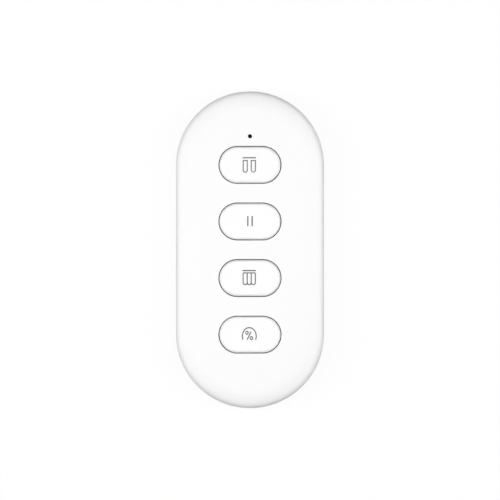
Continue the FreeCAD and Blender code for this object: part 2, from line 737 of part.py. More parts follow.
def cut_door_slot(body):
    """Slot for the door plate, grooves for its tongues and the open end of the case."""
    beyond = "-Sizes.case_length / 2 - Sizes.side_wall"
    slot = new_sketch(body, "XY_Plane", "DoorSlotOutline")
    draw_box(slot, "-Layout.slot_half", "Layout.slot_half", beyond, "Layout.slot_start")
    pocket(body, "DoorSlot", slot, "Layout.deck_bottom", Reversed=True)
    groove = new_sketch(body, "XY_Plane", "TongueGrooveOutline", z="Layout.groove_bottom")
    draw_box(groove, "-Layout.groove_half", "Layout.groove_half", beyond,
             "Layout.slot_start")
    pocket(body, "TongueGroove", groove, "Layout.deck_bottom - Layout.groove_bottom",
           Reversed=True)
    gate = new_sketch(body, "XY_Plane", "EndOpeningOutline")
    gate_y = end_y("Layout.end_wall_outside", "Layout.slot_half")
    draw(gate, [
        ("-Layout.slot_half", beyond),
        ("Layout.slot_half", beyond),
        ("Layout.slot_half", gate_y, "Layout.end_wall_outside", -1),
        ("-Layout.slot_half", gate_y)])
    pocket(body, "EndOpening", gate, "Sizes.parting_height", Reversed=True)


def make_battery_door():
    """Sliding door: plate with tongues, curved end wall, detent and ribbed thumb grip."""
    body = new_body("battery_door")
    half = [("0", "0")] + back_edge() + [
        ("Layout.end_radius", "Layout.door_top"), ("0", "Layout.door_top")]
    run = new_sketch(body, "XZ_Plane", "PlateSection", z="Sizes.door_start")
    draw(run, mirrored(half))
    pad(body, "Plate", run, "Layout.half_run - Sizes.door_start")
    end = new_sketch(body, "XZ_Plane", "EndSection", z="Layout.half_run")
    draw(end, half)
    turn(body, "Revolution", "End", end, HALF_TURN, True)

    inside = new_sketch(body, "XY_Plane", "InsideOutline", z="Sizes.door_thick")
    draw_case(inside, "Layout.cavity_radius")
    pocket(body, "Inside", inside, "Layout.door_top - Sizes.door_thick", Reversed=True)
    rebate = new_sketch(body, "XY_Plane", "RebateOutline", z="Layout.rebate_bottom")
    draw_case(rebate, "Layout.rebate_radius")
    pocket(body, "Rebate", rebate, "Layout.door_top - Layout.rebate_bottom",
           Reversed=True)

    sides = new_sketch(body, "XZ_Plane", "SideCutSection", z="Sizes.door_start")
    beyond = "Layout.end_radius + Sizes.side_wall"
    for side in (1, -1):
        draw(sides, [
            (f"{side} * (Layout.door_half - Sizes.door_bevel)", "0"),
            (f"{side} * ({beyond})", "0"),
            (f"{side} * ({beyond})", "Layout.door_top"),
            (f"{side} * Layout.door_half", "Layout.door_top"),
            (f"{side} * Layout.door_half", "Sizes.door_thick"),
            (f"{side} * Layout.tongue_half", "Sizes.door_thick"),
            (f"{side} * Layout.tongue_half", "Layout.tongue_bottom"),
            (f"{side} * Layout.door_half", "Layout.tongue_bottom"),
            (f"{side} * Layout.door_half", "Sizes.door_bevel")][::side])
    pocket(body, "SideCut", sides, "Sizes.case_length / 2", Reversed=True)

    detent = new_sketch(body, "XY_Plane", "DetentOutline",
                        y="-Sizes.door_start - 2 * Sizes.detent_width",
                        z="Sizes.door_thick")
    draw_box(detent, "-Sizes.detent_length / 2", "Sizes.detent_length / 2",
             "-Sizes.detent_width / 2", "Sizes.detent_width / 2")
    pad(body, "Detent", detent, "Sizes.detent_height")
    grip = new_sketch(body, "XY_Plane", "GripOutline", y="Sizes.grip_y")
    draw_cut_box(grip, "Sizes.grip_length / 2", "Sizes.grip_width / 2",
                 "Sizes.grip_width / 4")
    run = "(Sizes.grip_length - Sizes.grip_width) / 2"
    pocket(body, "Grip", grip, "Sizes.grip_depth", Reversed=True)
    rib = new_sketch(body, "XY_Plane", "GripRibOutline", y="Sizes.grip_y",
                     z="Sizes.grip_depth")
    for step in (1, 0, -1):
        middle = f"{step} * Sizes.grip_rib_pitch"
        draw_box(rib, minus(run), run, f"{middle} - Sizes.grip_rib_thick / 2",
                 f"{middle} + Sizes.grip_rib_thick / 2")
    pad(body, "GripRibs", rib, "Sizes.grip_depth / 2", Reversed=True)
    return body


def make_key_cap(name, y):
    """Rigid key: flange, flat top with a bevel, hollow back with ribs and a post."""
    body = new_body(f"{name}_key_cap", y=y)
    flange = new_sketch(body, "XY_Plane", "FlangeOutline", z="Layout.flange_bottom")
    draw_cut_box(flange, "Layout.key_half_run + Layout.flange_radius",
                 "Layout.flange_radius", "Sizes.flange_corner")
    pad(body, "Flange", flange, "Sizes.flange_thick")
    button = new_sketch(body, "XY_Plane", "ButtonOutline", z="Layout.flange_top")
    draw_key(button, "Layout.key_radius")
    raised = pad(body, "Button", button, "Layout.key_top - Layout.flange_top")
    top = value("Layout.key_top") - EDGE_TOLERANCE
    bevel_edges(body, "ButtonBevel", raised, "Sizes.key_edge_bevel",
                lambda box: box.ZMin > top)
    hollow = new_sketch(body, "XY_Plane", "HollowOutline", z="Layout.flange_bottom")
    draw_cut_box(hollow, "Layout.key_half_run + Layout.key_radius - Sizes.key_wall",
                 "Layout.key_radius - Sizes.key_wall", "Sizes.flange_corner")
    pocket(body, "Hollow", hollow, "Layout.key_hollow_top - Layout.flange_bottom",
           Reversed=True)
    ribs = new_sketch(body, "XY_Plane", "RibOutline", z="Layout.key_hollow_top")
    half_rib = "Sizes.key_rib_thick / 2"
    along = "Sizes.key_length / 2 - Sizes.key_wall / 2"
    across = "Sizes.key_width / 2 - Sizes.key_wall / 2"
    draw(ribs, [
        (minus(along), minus(half_rib)), (minus(half_rib), minus(half_rib)),
        (minus(half_rib), minus(across)), (half_rib, minus(across)),
        (half_rib, minus(half_rib)), (along, minus(half_rib)),
        (along, half_rib), (half_rib, half_rib),
        (half_rib, across), (minus(half_rib), across),
        (minus(half_rib), half_rib), (minus(along), half_rib)])
    pad(body, "Ribs", ribs, "Layout.key_hollow_top - Layout.flange_bottom", Reversed=True)
    post = new_sketch(body, "XY_Plane", "PostOutline", z="Layout.pad_top")
    half = "Sizes.key_post_side / 2"
    draw_box(post, minus(half), half, minus(half), half)
    pad(body, "Post", post, "Layout.key_hollow_top - Layout.pad_top")
    return body


def make_key_pad(name, y):
    """Soft pad between a key's post and its switch."""
    body = new_body(f"{name}_key_pad", y=y)
    outline = new_sketch(body, "XY_Plane", "PadOutline", z="Layout.plunger_top")
    draw_cut_box(outline, "Sizes.pad_side / 2", "Sizes.pad_side / 2", "Sizes.pad_side / 5")
    pad(body, "Pad", outline, "Sizes.pad_thick")
    return body


def flip(z, seat, up):
    """Height above the board for a switch on its top, or below it for one underneath."""
    return f"({seat}) + ({z})" if up else f"({seat}) - ({z})"


def make_switch_base(label, x, y, side, well, seat, up):
    """Moulded base with cut corners and a square well for the dome."""
    body = new_body(label, x, y)
    outline = new_sketch(body, "XY_Plane", "BaseOutline", z=seat)
    draw_cut_box(outline, f"{side} / 2", f"{side} / 2", "Sizes.switch_corner")
    pad(body, "Base", outline, "Sizes.switch_base_height", Reversed=not up)
    floor = new_sketch(body, "XY_Plane", "WellOutline",
                       z=flip("Sizes.switch_floor", seat, up))
    draw_box(floor, minus(well), well, minus(well), well)
    pocket(body, "Well", floor, "Sizes.switch_base_height - Sizes.switch_floor",
           Reversed=up)
    return body


def make_switch_dome(label, x, y, stem, dome_rise, seat, up):
    """Thin sprung leaf, bowed over the floor of the well with a flat for the plunger."""
    body = new_body(label, x, y)
    reach = f"{stem} + Sizes.plunger_flange"
    low = flip("Sizes.switch_floor", seat, up)
    high = flip(f"Sizes.switch_floor + {dome_rise}", seat, up)
    under = flip(f"Sizes.switch_floor + {dome_rise} - Sizes.dome_thick", seat, up)
    foot = f"Sizes.plunger_flange * Sizes.dome_thick / {dome_rise}"
    flat = f"({stem})"
    section = new_sketch(body, "XZ_Plane", "DomeSection")
    draw(section, [
        (minus(reach), low), (f"{foot} - ({reach})", low),
        (f"-{flat}", under), (flat, under),
        (f"{reach} - {foot}", low), (reach, low),
        (flat, high), (f"-{flat}", high)][::1 if up else -1])
    pad(body, "Dome", section, f"{flat} * 2", Midplane=True)
    return body


def make_switch_plunger(label, x, y, stem, dome_rise, seat, up):
    """Square plunger: a flange over the dome and a stem that stands out of the cover."""
    body = new_body(label, x, y)
    wide = f"{stem} + Sizes.plunger_flange"
    flange_low = f"Sizes.switch_floor + {dome_rise}"
    flange_high = "Sizes.switch_base_height - Sizes.plunger_slack"
    top = "Sizes.switch_base_height + Sizes.switch_cover_thick + Sizes.plunger_rise"
    flange = new_sketch(body, "XY_Plane", "FlangeOutline", z=flip(flange_low, seat, up))
    draw_box(flange, minus(wide), wide, minus(wide), wide)
    pad(body, "Flange", flange, f"{flange_high} - ({flange_low})", Reversed=not up)
    stalk = new_sketch(body, "XY_Plane", "StemOutline", z=flip(flange_high, seat, up))
    draw_box(stalk, minus(stem), stem, minus(stem), stem)
    pad(body, "Stem", stalk, f"{top} - ({flange_high})", Reversed=not up)
    return body


def make_switch_cover(label, x, y, side, stem, seat, up):
    """Stamped cover with a hole for the plunger and a clip down each side."""
    body = new_body(label, x, y)
    half = f"{side} / 2"
    outer = f"{half} + Sizes.switch_cover_thick"
    hole = f"{stem} + Sizes.plunger_gap"
    plate = new_sketch(body, "XY_Plane", "PlateOutline",
                       z=flip("Sizes.switch_base_height", seat, up))
    draw_box(plate, minus(outer), outer, minus(half), half)
    draw_box(plate, minus(hole), hole, minus(hole), hole)
    pad(body, "Plate", plate, "Sizes.switch_cover_thick", Reversed=not up)
    clips = new_sketch(body, "XY_Plane", "ClipOutline",
                       z=flip("Sizes.switch_base_height", seat, up))
    clip_half = "Sizes.switch_clip_width / 2"
    draw_box(clips, minus(outer), minus(half), minus(clip_half), clip_half)
    draw_box(clips, half, outer, minus(clip_half), clip_half)
    pad(body, "Clips", clips, "Sizes.switch_clip_drop", Reversed=up)
    return body


def make_switch(prefix, x, y, side, plunger_side, dome_rise, seat, up=True):
    """The four pieces of one push switch."""
    stem = f"{plunger_side} / 2"
    well = f"{stem} + Sizes.plunger_flange + Sizes.plunger_gap"
    make_switch_base(f"{prefix}_switch_base", x, y, side, well, seat, up)
    make_switch_dome(f"{prefix}_switch_dome", x, y, stem, dome_rise, seat, up)
    make_switch_plunger(f"{prefix}_switch_plunger", x, y, stem, dome_rise, seat, up)
    make_switch_cover(f"{prefix}_switch_cover", x, y, side, stem, seat, up)


def make_switch_terminals():
    """Solder feet beside each switch base, four to a switch."""
    body = new_body("switch_terminals")
    first = new_sketch(body, "XY_Plane", "FootOutline", y="Layout.first_key_y",
                       z="Layout.board_top")
    draw_feet(first, "Sizes.switch_side", "Sizes.terminal_spacing / 2")
    feet = pad(body, "Feet", first, "Sizes.terminal_thick")
    row(body, "FootRow", [feet], "Y_Axis", "Sizes.key_pitch", len(KEY_NAMES))
    under = new_sketch(body, "XY_Plane", "PairingFootOutline", x="Sizes.pairing_x",
                       y="Sizes.pairing_y", z="Layout.board_bottom")
    draw_feet(under, "Sizes.pairing_switch_side", "Sizes.pairing_switch_side / 3")
    pad(body, "PairingFeet", under, "Sizes.terminal_thick", Reversed=True)
    return body


def draw_feet(sketch, side, spacing):
    """Four small rectangles beside a square base."""
    near = f"{side} / 2"
    far = f"{near} + Sizes.terminal_length"
    half = "Sizes.terminal_width / 2"
    for middle in (spacing, minus(spacing)):
        draw_box(sketch, near, far, f"{middle} - {half}", f"{middle} + {half}")
        draw_box(sketch, minus(far), minus(near), f"{middle} - {half}",
                 f"{middle} + {half}")


def make_circuit_board():
    """Board with flats round its ends and holes for the screws and pins."""
    body = new_body("circuit_board")
    outline = new_sketch(body, "XY_Plane", "BoardOutline", z="Layout.board_bottom")
    draw(outline, flats("0", "Layout.half_run", "Layout.board_radius", "0", "180",
                        BOARD_FLAT_COUNT)
         + flats("0", "-Layout.half_run", "Layout.board_radius", "180", "360",
                 BOARD_FLAT_COUNT))
    for side in (1, -1):
        draw_circle(outline, f"{side} * Sizes.boss_x", "Layout.boss_y",
                    "Sizes.screw_diameter / 2 + Sizes.screw_gap")
        draw_octagon(outline, f"{side} * Sizes.post_x", "Layout.post_y",
                     "Sizes.pin_diameter / 2 + Sizes.board_hole_gap")
    pad(body, "Board", outline, "Sizes.board_thick")
    return body


def make_pairing_button():
    """Small button with a flange, reached through the deck when the door is off."""
    body = new_body("pairing_button", "Sizes.pairing_x", "Sizes.pairing_y")
    stem = "Sizes.pairing_button_diameter / 2"
    wide = f"{stem} + Sizes.pairing_flange"
    seat = "Layout.deck_top + Sizes.flange_gap"
    top = "Layout.pairing_plunger_bottom"
    flange = new_sketch(body, "XY_Plane", "FlangeOutline", z=seat)
    draw_octagon(flange, "0", "0", wide)
    pad(body, "Flange", flange, f"{top} - ({seat})")
    button = new_sketch(body, "XY_Plane", "ButtonOutline", z=seat)
    draw_circle(button, "0", "0", stem)
    pad(body, "Button", button, f"{seat} - Layout.cell_bottom", Reversed=True)
    return body


def make_case_screws():
    """Two screws that pull the shells together."""
    body = new_body("case_screws")
    shanks = new_sketch(body, "XY_Plane", "ShankOutline", z="Layout.screw_seat")
    heads = new_sketch(body, "XY_Plane", "HeadOutline", z="Layout.screw_seat")
    for side in (1, -1):
        middle = f"{side} * Sizes.boss_x"
        draw_circle(shanks, middle, "Layout.boss_y",
                    "(Sizes.screw_diameter - Sizes.screw_slack) / 2")
        draw_octagon(heads, middle, "Layout.boss_y", "Sizes.screw_head_diameter / 2")
    pad(body, "Head", heads, "Sizes.screw_head_height", Reversed=True)
    pad(body, "Shank", shanks, "Sizes.screw_length")
    return body


def make_coin_cell():
    """Sealed cell in two pieces: the can and the raised cap in its open end."""
    low = "Layout.cell_bottom"
    shoulder = "Layout.cap_shoulder"
    seat = f"{shoulder} - Sizes.cell_cap_depth"
    can = new_body("coin_cell_can", y="Sizes.cell_y")
    section = new_sketch(can, "XZ_Plane", "CanSection")
    draw(section, [
        ("0", low), ("Layout.cell_radius", low), ("Layout.cell_radius", shoulder),
        ("Layout.cap_radius", shoulder), ("Layout.cap_radius", seat), ("0", seat)])
    turn(can, "Revolution", "Can", section)
    cap = new_body("coin_cell_cap", y="Sizes.cell_y")
    outline = new_sketch(cap, "XY_Plane", "CapOutline", z=seat)
    draw_circle(outline, "0", "0", "Layout.cap_radius")
    pad(cap, "Cap", outline, f"Layout.cell_top - ({seat})")


def make_contacts():
    """Side clip for the can and sprung leaf with two fingers for the cap."""
    thick = "Sizes.contact_thick"
    board = "Layout.board_bottom"
    clip = new_body("positive_contact", y="Sizes.cell_y")
    section = new_sketch(clip, "XZ_Plane", "ClipSection")
    near = "Layout.clip_x"
    far = f"{near} - {thick}"
    low = "Layout.cell_bottom + Sizes.cell_height / 2"
    draw(section, [
        (far, low), (near, low), (near, board),
        (f"{near} - Sizes.contact_foot", board),
        (f"{near} - Sizes.contact_foot", f"{board} - {thick}"),
        (far, f"{board} - {thick}")])
    pad(clip, "Clip", section, "Sizes.contact_width", Midplane=True)

    leaf = new_body("negative_contact", y="Sizes.cell_y")
    section = new_sketch(leaf, "YZ_Plane", "FingerSection")
    touch = "Layout.cell_top + Sizes.contact_touch"
    start = "-Sizes.leaf_length / 2"
    tip = "Sizes.leaf_length / 2"
    draw(section, [
        (start, f"{board} - {thick}"),
        (f"{start} / 3", f"{board} - {thick}"),
        (f"{tip} / 2", touch), (f"{tip} * 0.7", touch),
        (tip, f"{touch} + {thick}"), (tip, f"{touch} + 2 * {thick}"),
        (f"{tip} * 0.7", f"{touch} + {thick}"),
        (f"{tip} / 2", f"{touch} + {thick}"),
        (f"{start} / 3", board), (start, board)])
    pad(leaf, "Fingers", section, "Sizes.leaf_spacing + Sizes.leaf_width", Midplane=True)
    split = new_sketch(leaf, "XY_Plane", "SplitOutline", z=board)
    half = "(Sizes.leaf_spacing - Sizes.leaf_width) / 2"
    draw_box(split, minus(half), half, f"{start} / 3", f"{tip} + {thick}")
    pocket(leaf, "Split", split, "Sizes.contact_height")


def make_indicator():
    """Lamp on the board and the light pipe that carries its light to the face."""
    lamp = new_body("indicator_lamp", y="Layout.indicator_y")
    base = new_sketch(lamp, "XY_Plane", "LampBaseOutline", z="Layout.board_top")
    half_length = "Sizes.lamp_length / 2"
    half_width = "Sizes.lamp_width / 2"
    draw_box(base, minus(half_length), half_length, minus(half_width), half_width)
    pad(lamp, "LampBase", base, "Sizes.lamp_height")
    lens = new_sketch(lamp, "XY_Plane", "LensOutline",
                      z="Layout.board_top + Sizes.lamp_height")
    draw_box(lens, f"{minus(half_length)} / 2", f"{half_length} / 2",
             minus(half_width), half_width)
    pad(lamp, "Lens", lens, "Sizes.lamp_lens")

    pipe = new_body("light_pipe", y="Layout.indicator_y")
    low = "Layout.lamp_top + Sizes.indicator_gap"
    foot = new_sketch(pipe, "XY_Plane", "PipeFootOutline", z=low)
    draw_octagon(foot, "0", "0", "Sizes.pipe_diameter / 2")
    pad(pipe, "PipeFoot", foot, f"Layout.pipe_top - ({low})")
    tip = new_sketch(pipe, "XY_Plane", "PipeTipOutline", z="Layout.pipe_top")
    draw_circle(tip, "0", "0", "Sizes.indicator_hole / 2 - Sizes.indicator_gap")
    pad(pipe, "PipeTip", tip,
        "Layout.case_top - Sizes.indicator_recess - Layout.pipe_top")


def make_radio():
    """Radio module with its metal shield, and a flat folded antenna beside it."""
    board = new_body("radio_module_board", y="Layout.radio_y")
    outline = new_sketch(board, "XY_Plane", "ModuleOutline", z="Layout.board_top")
    draw_box(outline, "-Sizes.radio_length / 2", "Sizes.radio_length / 2",
             "-Layout.radio_width / 2", "Layout.radio_width / 2")
    pad(board, "Module", outline, "Sizes.radio_thick")

    shield = new_body("radio_shield", y="Layout.radio_y")
    outline = new_sketch(shield, "XY_Plane", "ShieldOutline", z="Layout.radio_top")
    draw_box(outline, "-Sizes.shield_length / 2", "Sizes.shield_length / 2",
             "-Layout.shield_width / 2", "Layout.shield_width / 2")
    pad(shield, "Shield", outline, "Sizes.shield_height")
    hollow = new_sketch(shield, "XY_Plane", "ShieldHollowOutline", z="Layout.radio_top")
    draw_box(hollow, "-Sizes.shield_length / 2 + Sizes.shield_wall",
             "Sizes.shield_length / 2 - Sizes.shield_wall",
             "-Layout.shield_width / 2 + Sizes.shield_wall",
             "Layout.shield_width / 2 - Sizes.shield_wall")
    pocket(shield, "ShieldHollow", hollow, "Sizes.shield_height - Sizes.shield_wall",
           Reversed=True)

    antenna = new_body("radio_antenna", "Layout.antenna_x", "Sizes.antenna_y")
    outline = new_sketch(antenna, "XY_Plane", "AntennaOutline", z="Layout.board_top")
    draw(outline, folded_strip(4))
    pad(antenna, "Antenna", outline, "Sizes.antenna_thick")


def folded_strip(folds):
    """Outline of a flat strip that runs to and fro along x and steps down in y."""
    half = "Sizes.antenna_width / 2"
    trace = "Sizes.antenna_trace"
    pitch = "Sizes.antenna_pitch"
    outer = []
    inner = []
    for fold in range(folds):
        side = 1 if fold % 2 == 0 else -1
        high = f"-{fold} * {pitch}"
        low = f"-{fold + 1} * {pitch}"
        outer.append((f"{side} * ({half})", high))
        outer.append((f"{side} * ({half})", f"{low} - {trace}"))
        inner.append((f"{side} * ({half} - {trace})", f"{high} - {trace}"))
        inner.append((f"{side} * ({half} - {trace})", low))
    chain_out = []
    chain_in = []
    for fold in range(folds):
        pair_out = outer[2 * fold:2 * fold + 2]
        pair_in = inner[2 * fold:2 * fold + 2]
        if fold % 2 == 0:
            chain_out += pair_out
            chain_in += pair_in
        else:
            chain_out += pair_in
            chain_in += pair_out
    return [(minus(half), "0")] + chain_out + chain_in[::-1] + [
        (minus(half), f"-{trace}")]


def make_components():
    """Controller with its leads, bulk capacitor, crystal and two rows of small parts."""
    chip = new_body("controller_chip", "Sizes.chip_x")
    body_low = "Layout.board_top + Sizes.terminal_thick"
    package = new_sketch(chip, "XY_Plane", "PackageOutline", z=body_low)
    draw_box(package, "-Sizes.chip_width / 2", "Sizes.chip_width / 2",
             "-Sizes.chip_length / 2", "Sizes.chip_length / 2")
    pad(chip, "Package", package, "Sizes.chip_height")
    lead = new_sketch(chip, "XZ_Plane", "LeadSection",
                      z=f"-{(CHIP_LEADS - 1) / 2} * Sizes.chip_lead_pitch")
    near = "Sizes.chip_width / 2"
    far = f"{near} + Sizes.chip_lead_reach"
    thick = "Sizes.chip_lead_thick"
    middle = f"{body_low} + Sizes.chip_height / 2"
    for side in (1, -1):
        draw(lead, [
            (f"{side} * ({near} - {thick})", f"{middle} - {thick}"),
            (f"{side} * ({near} + {thick})", f"{middle} - {thick}"),
            (f"{side} * ({near} + {thick})", "Layout.board_top"),
            (f"{side} * ({far})", "Layout.board_top"),
            (f"{side} * ({far})", f"Layout.board_top + {thick}"),
            (f"{side} * ({near} + 2 * {thick})", f"Layout.board_top + {thick}"),
            (f"{side} * ({near} + 2 * {thick})", middle),
            (f"{side} * ({near} - {thick})", middle)][::side])
    leads = pad(chip, "Lead", lead, "Sizes.chip_lead_width", Midplane=True)
    row(chip, "Leads", [leads], "Y_Axis", "Sizes.chip_lead_pitch", CHIP_LEADS)

    bulk = new_body("bulk_capacitor", "Sizes.bulk_x")
    outline = new_sketch(bulk, "XY_Plane", "CapacitorOutline", z="Layout.board_top")
    draw_box(outline, "-Sizes.bulk_width / 2", "Sizes.bulk_width / 2",
             "-Sizes.bulk_length / 2", "Sizes.bulk_length / 2")
    pad(bulk, "Capacitor", outline, "Sizes.bulk_height", TaperAngle=-4.0)

    crystal = new_body("crystal_can", "Sizes.chip_x", "Sizes.crystal_y")
    outline = new_sketch(crystal, "XY_Plane", "CrystalOutline", z="Layout.board_top")
    draw_cut_box(outline, "Sizes.crystal_width / 2", "Sizes.crystal_length / 2",
                 "Sizes.crystal_width / 6")
    pad(crystal, "Crystal", outline, "Sizes.crystal_height")

    for label, x, count in (
            ("chip_capacitors", "Sizes.chip_x", CAPACITORS),
            ("chip_resistors", "Sizes.bulk_x", RESISTORS)):
        group = new_body(label, x, "Sizes.small_part_y")
        outline = new_sketch(group, "XY_Plane", "SmallPartOutline", z="Layout.board_top")
        draw_box(outline, "-Sizes.small_part_length / 2", "Sizes.small_part_length / 2",
                 "-Sizes.small_part_width / 2", "Sizes.small_part_width / 2")
        small = pad(group, "SmallPart", outline, "Sizes.small_part_height")
        row(group, "SmallParts", [small], "Y_Axis", "Sizes.small_part_pitch", count)


def build():
    """Make every sub-part."""
    make_front_shell()
    make_rear_shell()
    make_battery_door()
    for number, name in enumerate(KEY_NAMES):
        y = f"Layout.first_key_y - {number} * Sizes.key_pitch"
        make_key_cap(name, y)
        make_key_pad(name, y)
        make_switch(name, "0", y, "Sizes.switch_side", "Sizes.plunger_side",
                    "Layout.dome_rise", "Layout.board_top")
    make_switch_terminals()
    make_circuit_board()
    make_pairing_button()
    make_switch("pairing", "Sizes.pairing_x", "Sizes.pairing_y",
                "Sizes.pairing_switch_side", "Sizes.pairing_plunger_side",
                "Layout.pairing_dome_rise", "Layout.board_bottom", up=False)
    make_case_screws()
    make_coin_cell()
    make_contacts()
    make_indicator()
    make_radio()
    make_components()


def check_and_export():
    """Stop on any failed object or bad shape, then write one file for each sub-part."""
    document.recompute()
    failed = [item.Label for item in document.Objects
              if "Invalid" in item.State or "Error" in item.State]
    if failed:
        raise RuntimeError(f"failed objects: {failed}")
    bodies = [item for item in document.Objects if item.TypeId == "PartDesign::Body"]
    for body in bodies:
        shape = body.Shape
        if shape.isNull() or not shape.isValid() or not shape.Solids:
            raise RuntimeError(f"bad shape: {body.Label}")
    os.makedirs("parts", exist_ok=True)
    for body in bodies:
        body.Shape.exportStep(os.path.join("parts", f"{body.Label}.step"))
        print(f"{body.Label}: {len(body.Shape.Solids)} solid(s), "
              f"{body.Shape.Volume:.2f} mm3")


build()
check_and_export()
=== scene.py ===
"""Looks of a slim curtain remote control.

A white case with round ends holds four rigid keys with grey symbols, a small dark
indicator and a sliding door over a coin cell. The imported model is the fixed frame: +X
runs across the keys, +Y towards the indicator and +Z out of the front face. Lengths in
the classes are millimetres, and each mesh is stored in metres.
"""

import json
import logging
import math
from collections.abc import Callable, Iterable, Sequence
from dataclasses import dataclass, replace
from enum import Enum
from functools import cache

import bmesh
import bpy
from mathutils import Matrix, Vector
from mathutils.geometry import tessellate_polygon


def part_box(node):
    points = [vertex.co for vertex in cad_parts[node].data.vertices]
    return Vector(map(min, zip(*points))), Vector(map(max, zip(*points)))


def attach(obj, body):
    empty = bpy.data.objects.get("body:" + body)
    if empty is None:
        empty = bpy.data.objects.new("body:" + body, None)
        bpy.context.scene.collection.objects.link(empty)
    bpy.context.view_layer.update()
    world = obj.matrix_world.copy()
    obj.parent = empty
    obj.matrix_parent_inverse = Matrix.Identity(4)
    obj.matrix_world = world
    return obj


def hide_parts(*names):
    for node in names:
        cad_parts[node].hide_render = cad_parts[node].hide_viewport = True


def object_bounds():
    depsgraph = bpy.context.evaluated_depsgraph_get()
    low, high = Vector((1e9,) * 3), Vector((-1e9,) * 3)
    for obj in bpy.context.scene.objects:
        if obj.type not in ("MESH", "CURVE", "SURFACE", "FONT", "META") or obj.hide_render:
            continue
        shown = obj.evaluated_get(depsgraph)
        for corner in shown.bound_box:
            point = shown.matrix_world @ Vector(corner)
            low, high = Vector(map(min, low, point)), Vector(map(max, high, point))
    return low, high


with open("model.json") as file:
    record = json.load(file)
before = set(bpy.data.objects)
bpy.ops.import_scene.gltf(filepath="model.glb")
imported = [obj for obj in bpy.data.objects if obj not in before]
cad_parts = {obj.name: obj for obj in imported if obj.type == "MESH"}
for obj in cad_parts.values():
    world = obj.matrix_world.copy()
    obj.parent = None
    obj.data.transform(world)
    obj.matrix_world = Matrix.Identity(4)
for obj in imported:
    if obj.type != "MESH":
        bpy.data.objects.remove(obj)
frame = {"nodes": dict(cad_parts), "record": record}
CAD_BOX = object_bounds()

Point = tuple[float, float]
Place = tuple[float, float, float]
Colour = tuple[float, float, float]
Loop = list[int]
Settings = dict[str, object] | None
Inputs = dict[int | str, object] | None

MM = 0.001
WELD = 1e-7  # points of a mesh that are nearer than this, in metres, become one
SHARP = 32  # degrees between two faces from which their edge shows
PAST = 1.0  # how far a cutting tool stands past what it cuts
LOG = logging.getLogger("remote")


# --- shader expressions ---


class Number:
    """A number that varies over a surface; arithmetic on it adds Math nodes."""

    def __init__(self, nodes: "Nodes", socket: bpy.types.NodeSocket) -> None:
        """Wrap a socket of a node tree."""
        self.nodes = nodes
        self.socket = socket

    def _math(self, operation: str, first: "Term", second: "Term") -> "Number":
        """Add one Math node for two operands."""
        return self.nodes.number("ShaderNodeMath", {"operation": operation},
                                 {0: first, 1: second})

    def __add__(self, other: "Term") -> "Number":
        """Sum."""
        return self._math("ADD", self, other)

    def __radd__(self, other: "Term") -> "Number":
        """Sum with a plain number on the left."""
        return self._math("ADD", other, self)

    def __sub__(self, other: "Term") -> "Number":
        """Difference."""
        return self._math("SUBTRACT", self, other)

    def __rsub__(self, other: "Term") -> "Number":
        """Difference from a plain number."""
        return self._math("SUBTRACT", other, self)

    def __mul__(self, other: "Term") -> "Number":
        """Product."""
        return self._math("MULTIPLY", self, other)

    def __rmul__(self, other: "Term") -> "Number":
        """Product with a plain number on the left."""
        return self._math("MULTIPLY", other, self)

    def __truediv__(self, other: "Term") -> "Number":
        """Quotient."""
        return self._math("DIVIDE", self, other)

    def highest(self, other: "Term") -> "Number":
        """The larger of the two."""
        return self._math("MAXIMUM", self, other)

    def ramp(self, low: float, high: float) -> "Number":
        """Smooth step from 0 at low to 1 at high."""
        return self.nodes.number("ShaderNodeMapRange", {"interpolation_type": "SMOOTHSTEP"},
                                 {"Value": self, "From Min": low, "From Max": high})


Term = Number | float


class Nodes:
    """An empty node tree, with one method that adds any node."""

    def __init__(self, owner: bpy.types.Material | bpy.types.World) -> None:
        """Clear the owner's node tree.

        Args:
            owner: Material or world.
        """
        owner.use_nodes = True
        self.tree = owner.node_tree
        self.tree.nodes.clear()

    def feed(self, socket: bpy.types.NodeSocket, value: object) -> None:
        """Link an input to a Number or a socket, or set it to a number or a tuple."""
        if isinstance(value, Number):
            value = value.socket
        if isinstance(value, bpy.types.NodeSocket):
            self.tree.links.new(value, socket)
        else:
            socket.default_value = (*value, 1.0) if socket.type == "RGBA" else value

    def node(self, kind: str, settings: Settings = None,
             inputs: Inputs = None) -> bpy.types.Node:
        """Add a node.

        Args:
            kind: Blender's type name.
            settings: Properties, set first.
            inputs: Values or links by socket name or place.

        Returns:
            The new node.
        """
        made = self.tree.nodes.new(kind)
        for name, setting in (settings or {}).items():
            setattr(made, name, setting)
        for name, value in (inputs or {}).items():
            self.feed(made.inputs[name], value)
        return made

    def number(self, kind: str, settings: Settings = None, inputs: Inputs = None,
               output: int | str = 0) -> Number:
        """Add a node, and take one of its outputs as a number."""
        return Number(self, self.node(kind, settings, inputs).outputs[output])

    def seen_directly(self) -> Number:
        """Tell what the camera sees from what only lights the part.

        Returns:
            1 for rays from the camera, off a glossy surface or through a clear one.
        """
        path = self.node("ShaderNodeLightPath").outputs
        camera, glossy, clear = (Number(self, path[name]) for name in (
            "Is Camera Ray", "Is Glossy Ray", "Is Transmission Ray"))
        return camera.highest(glossy).highest(clear)


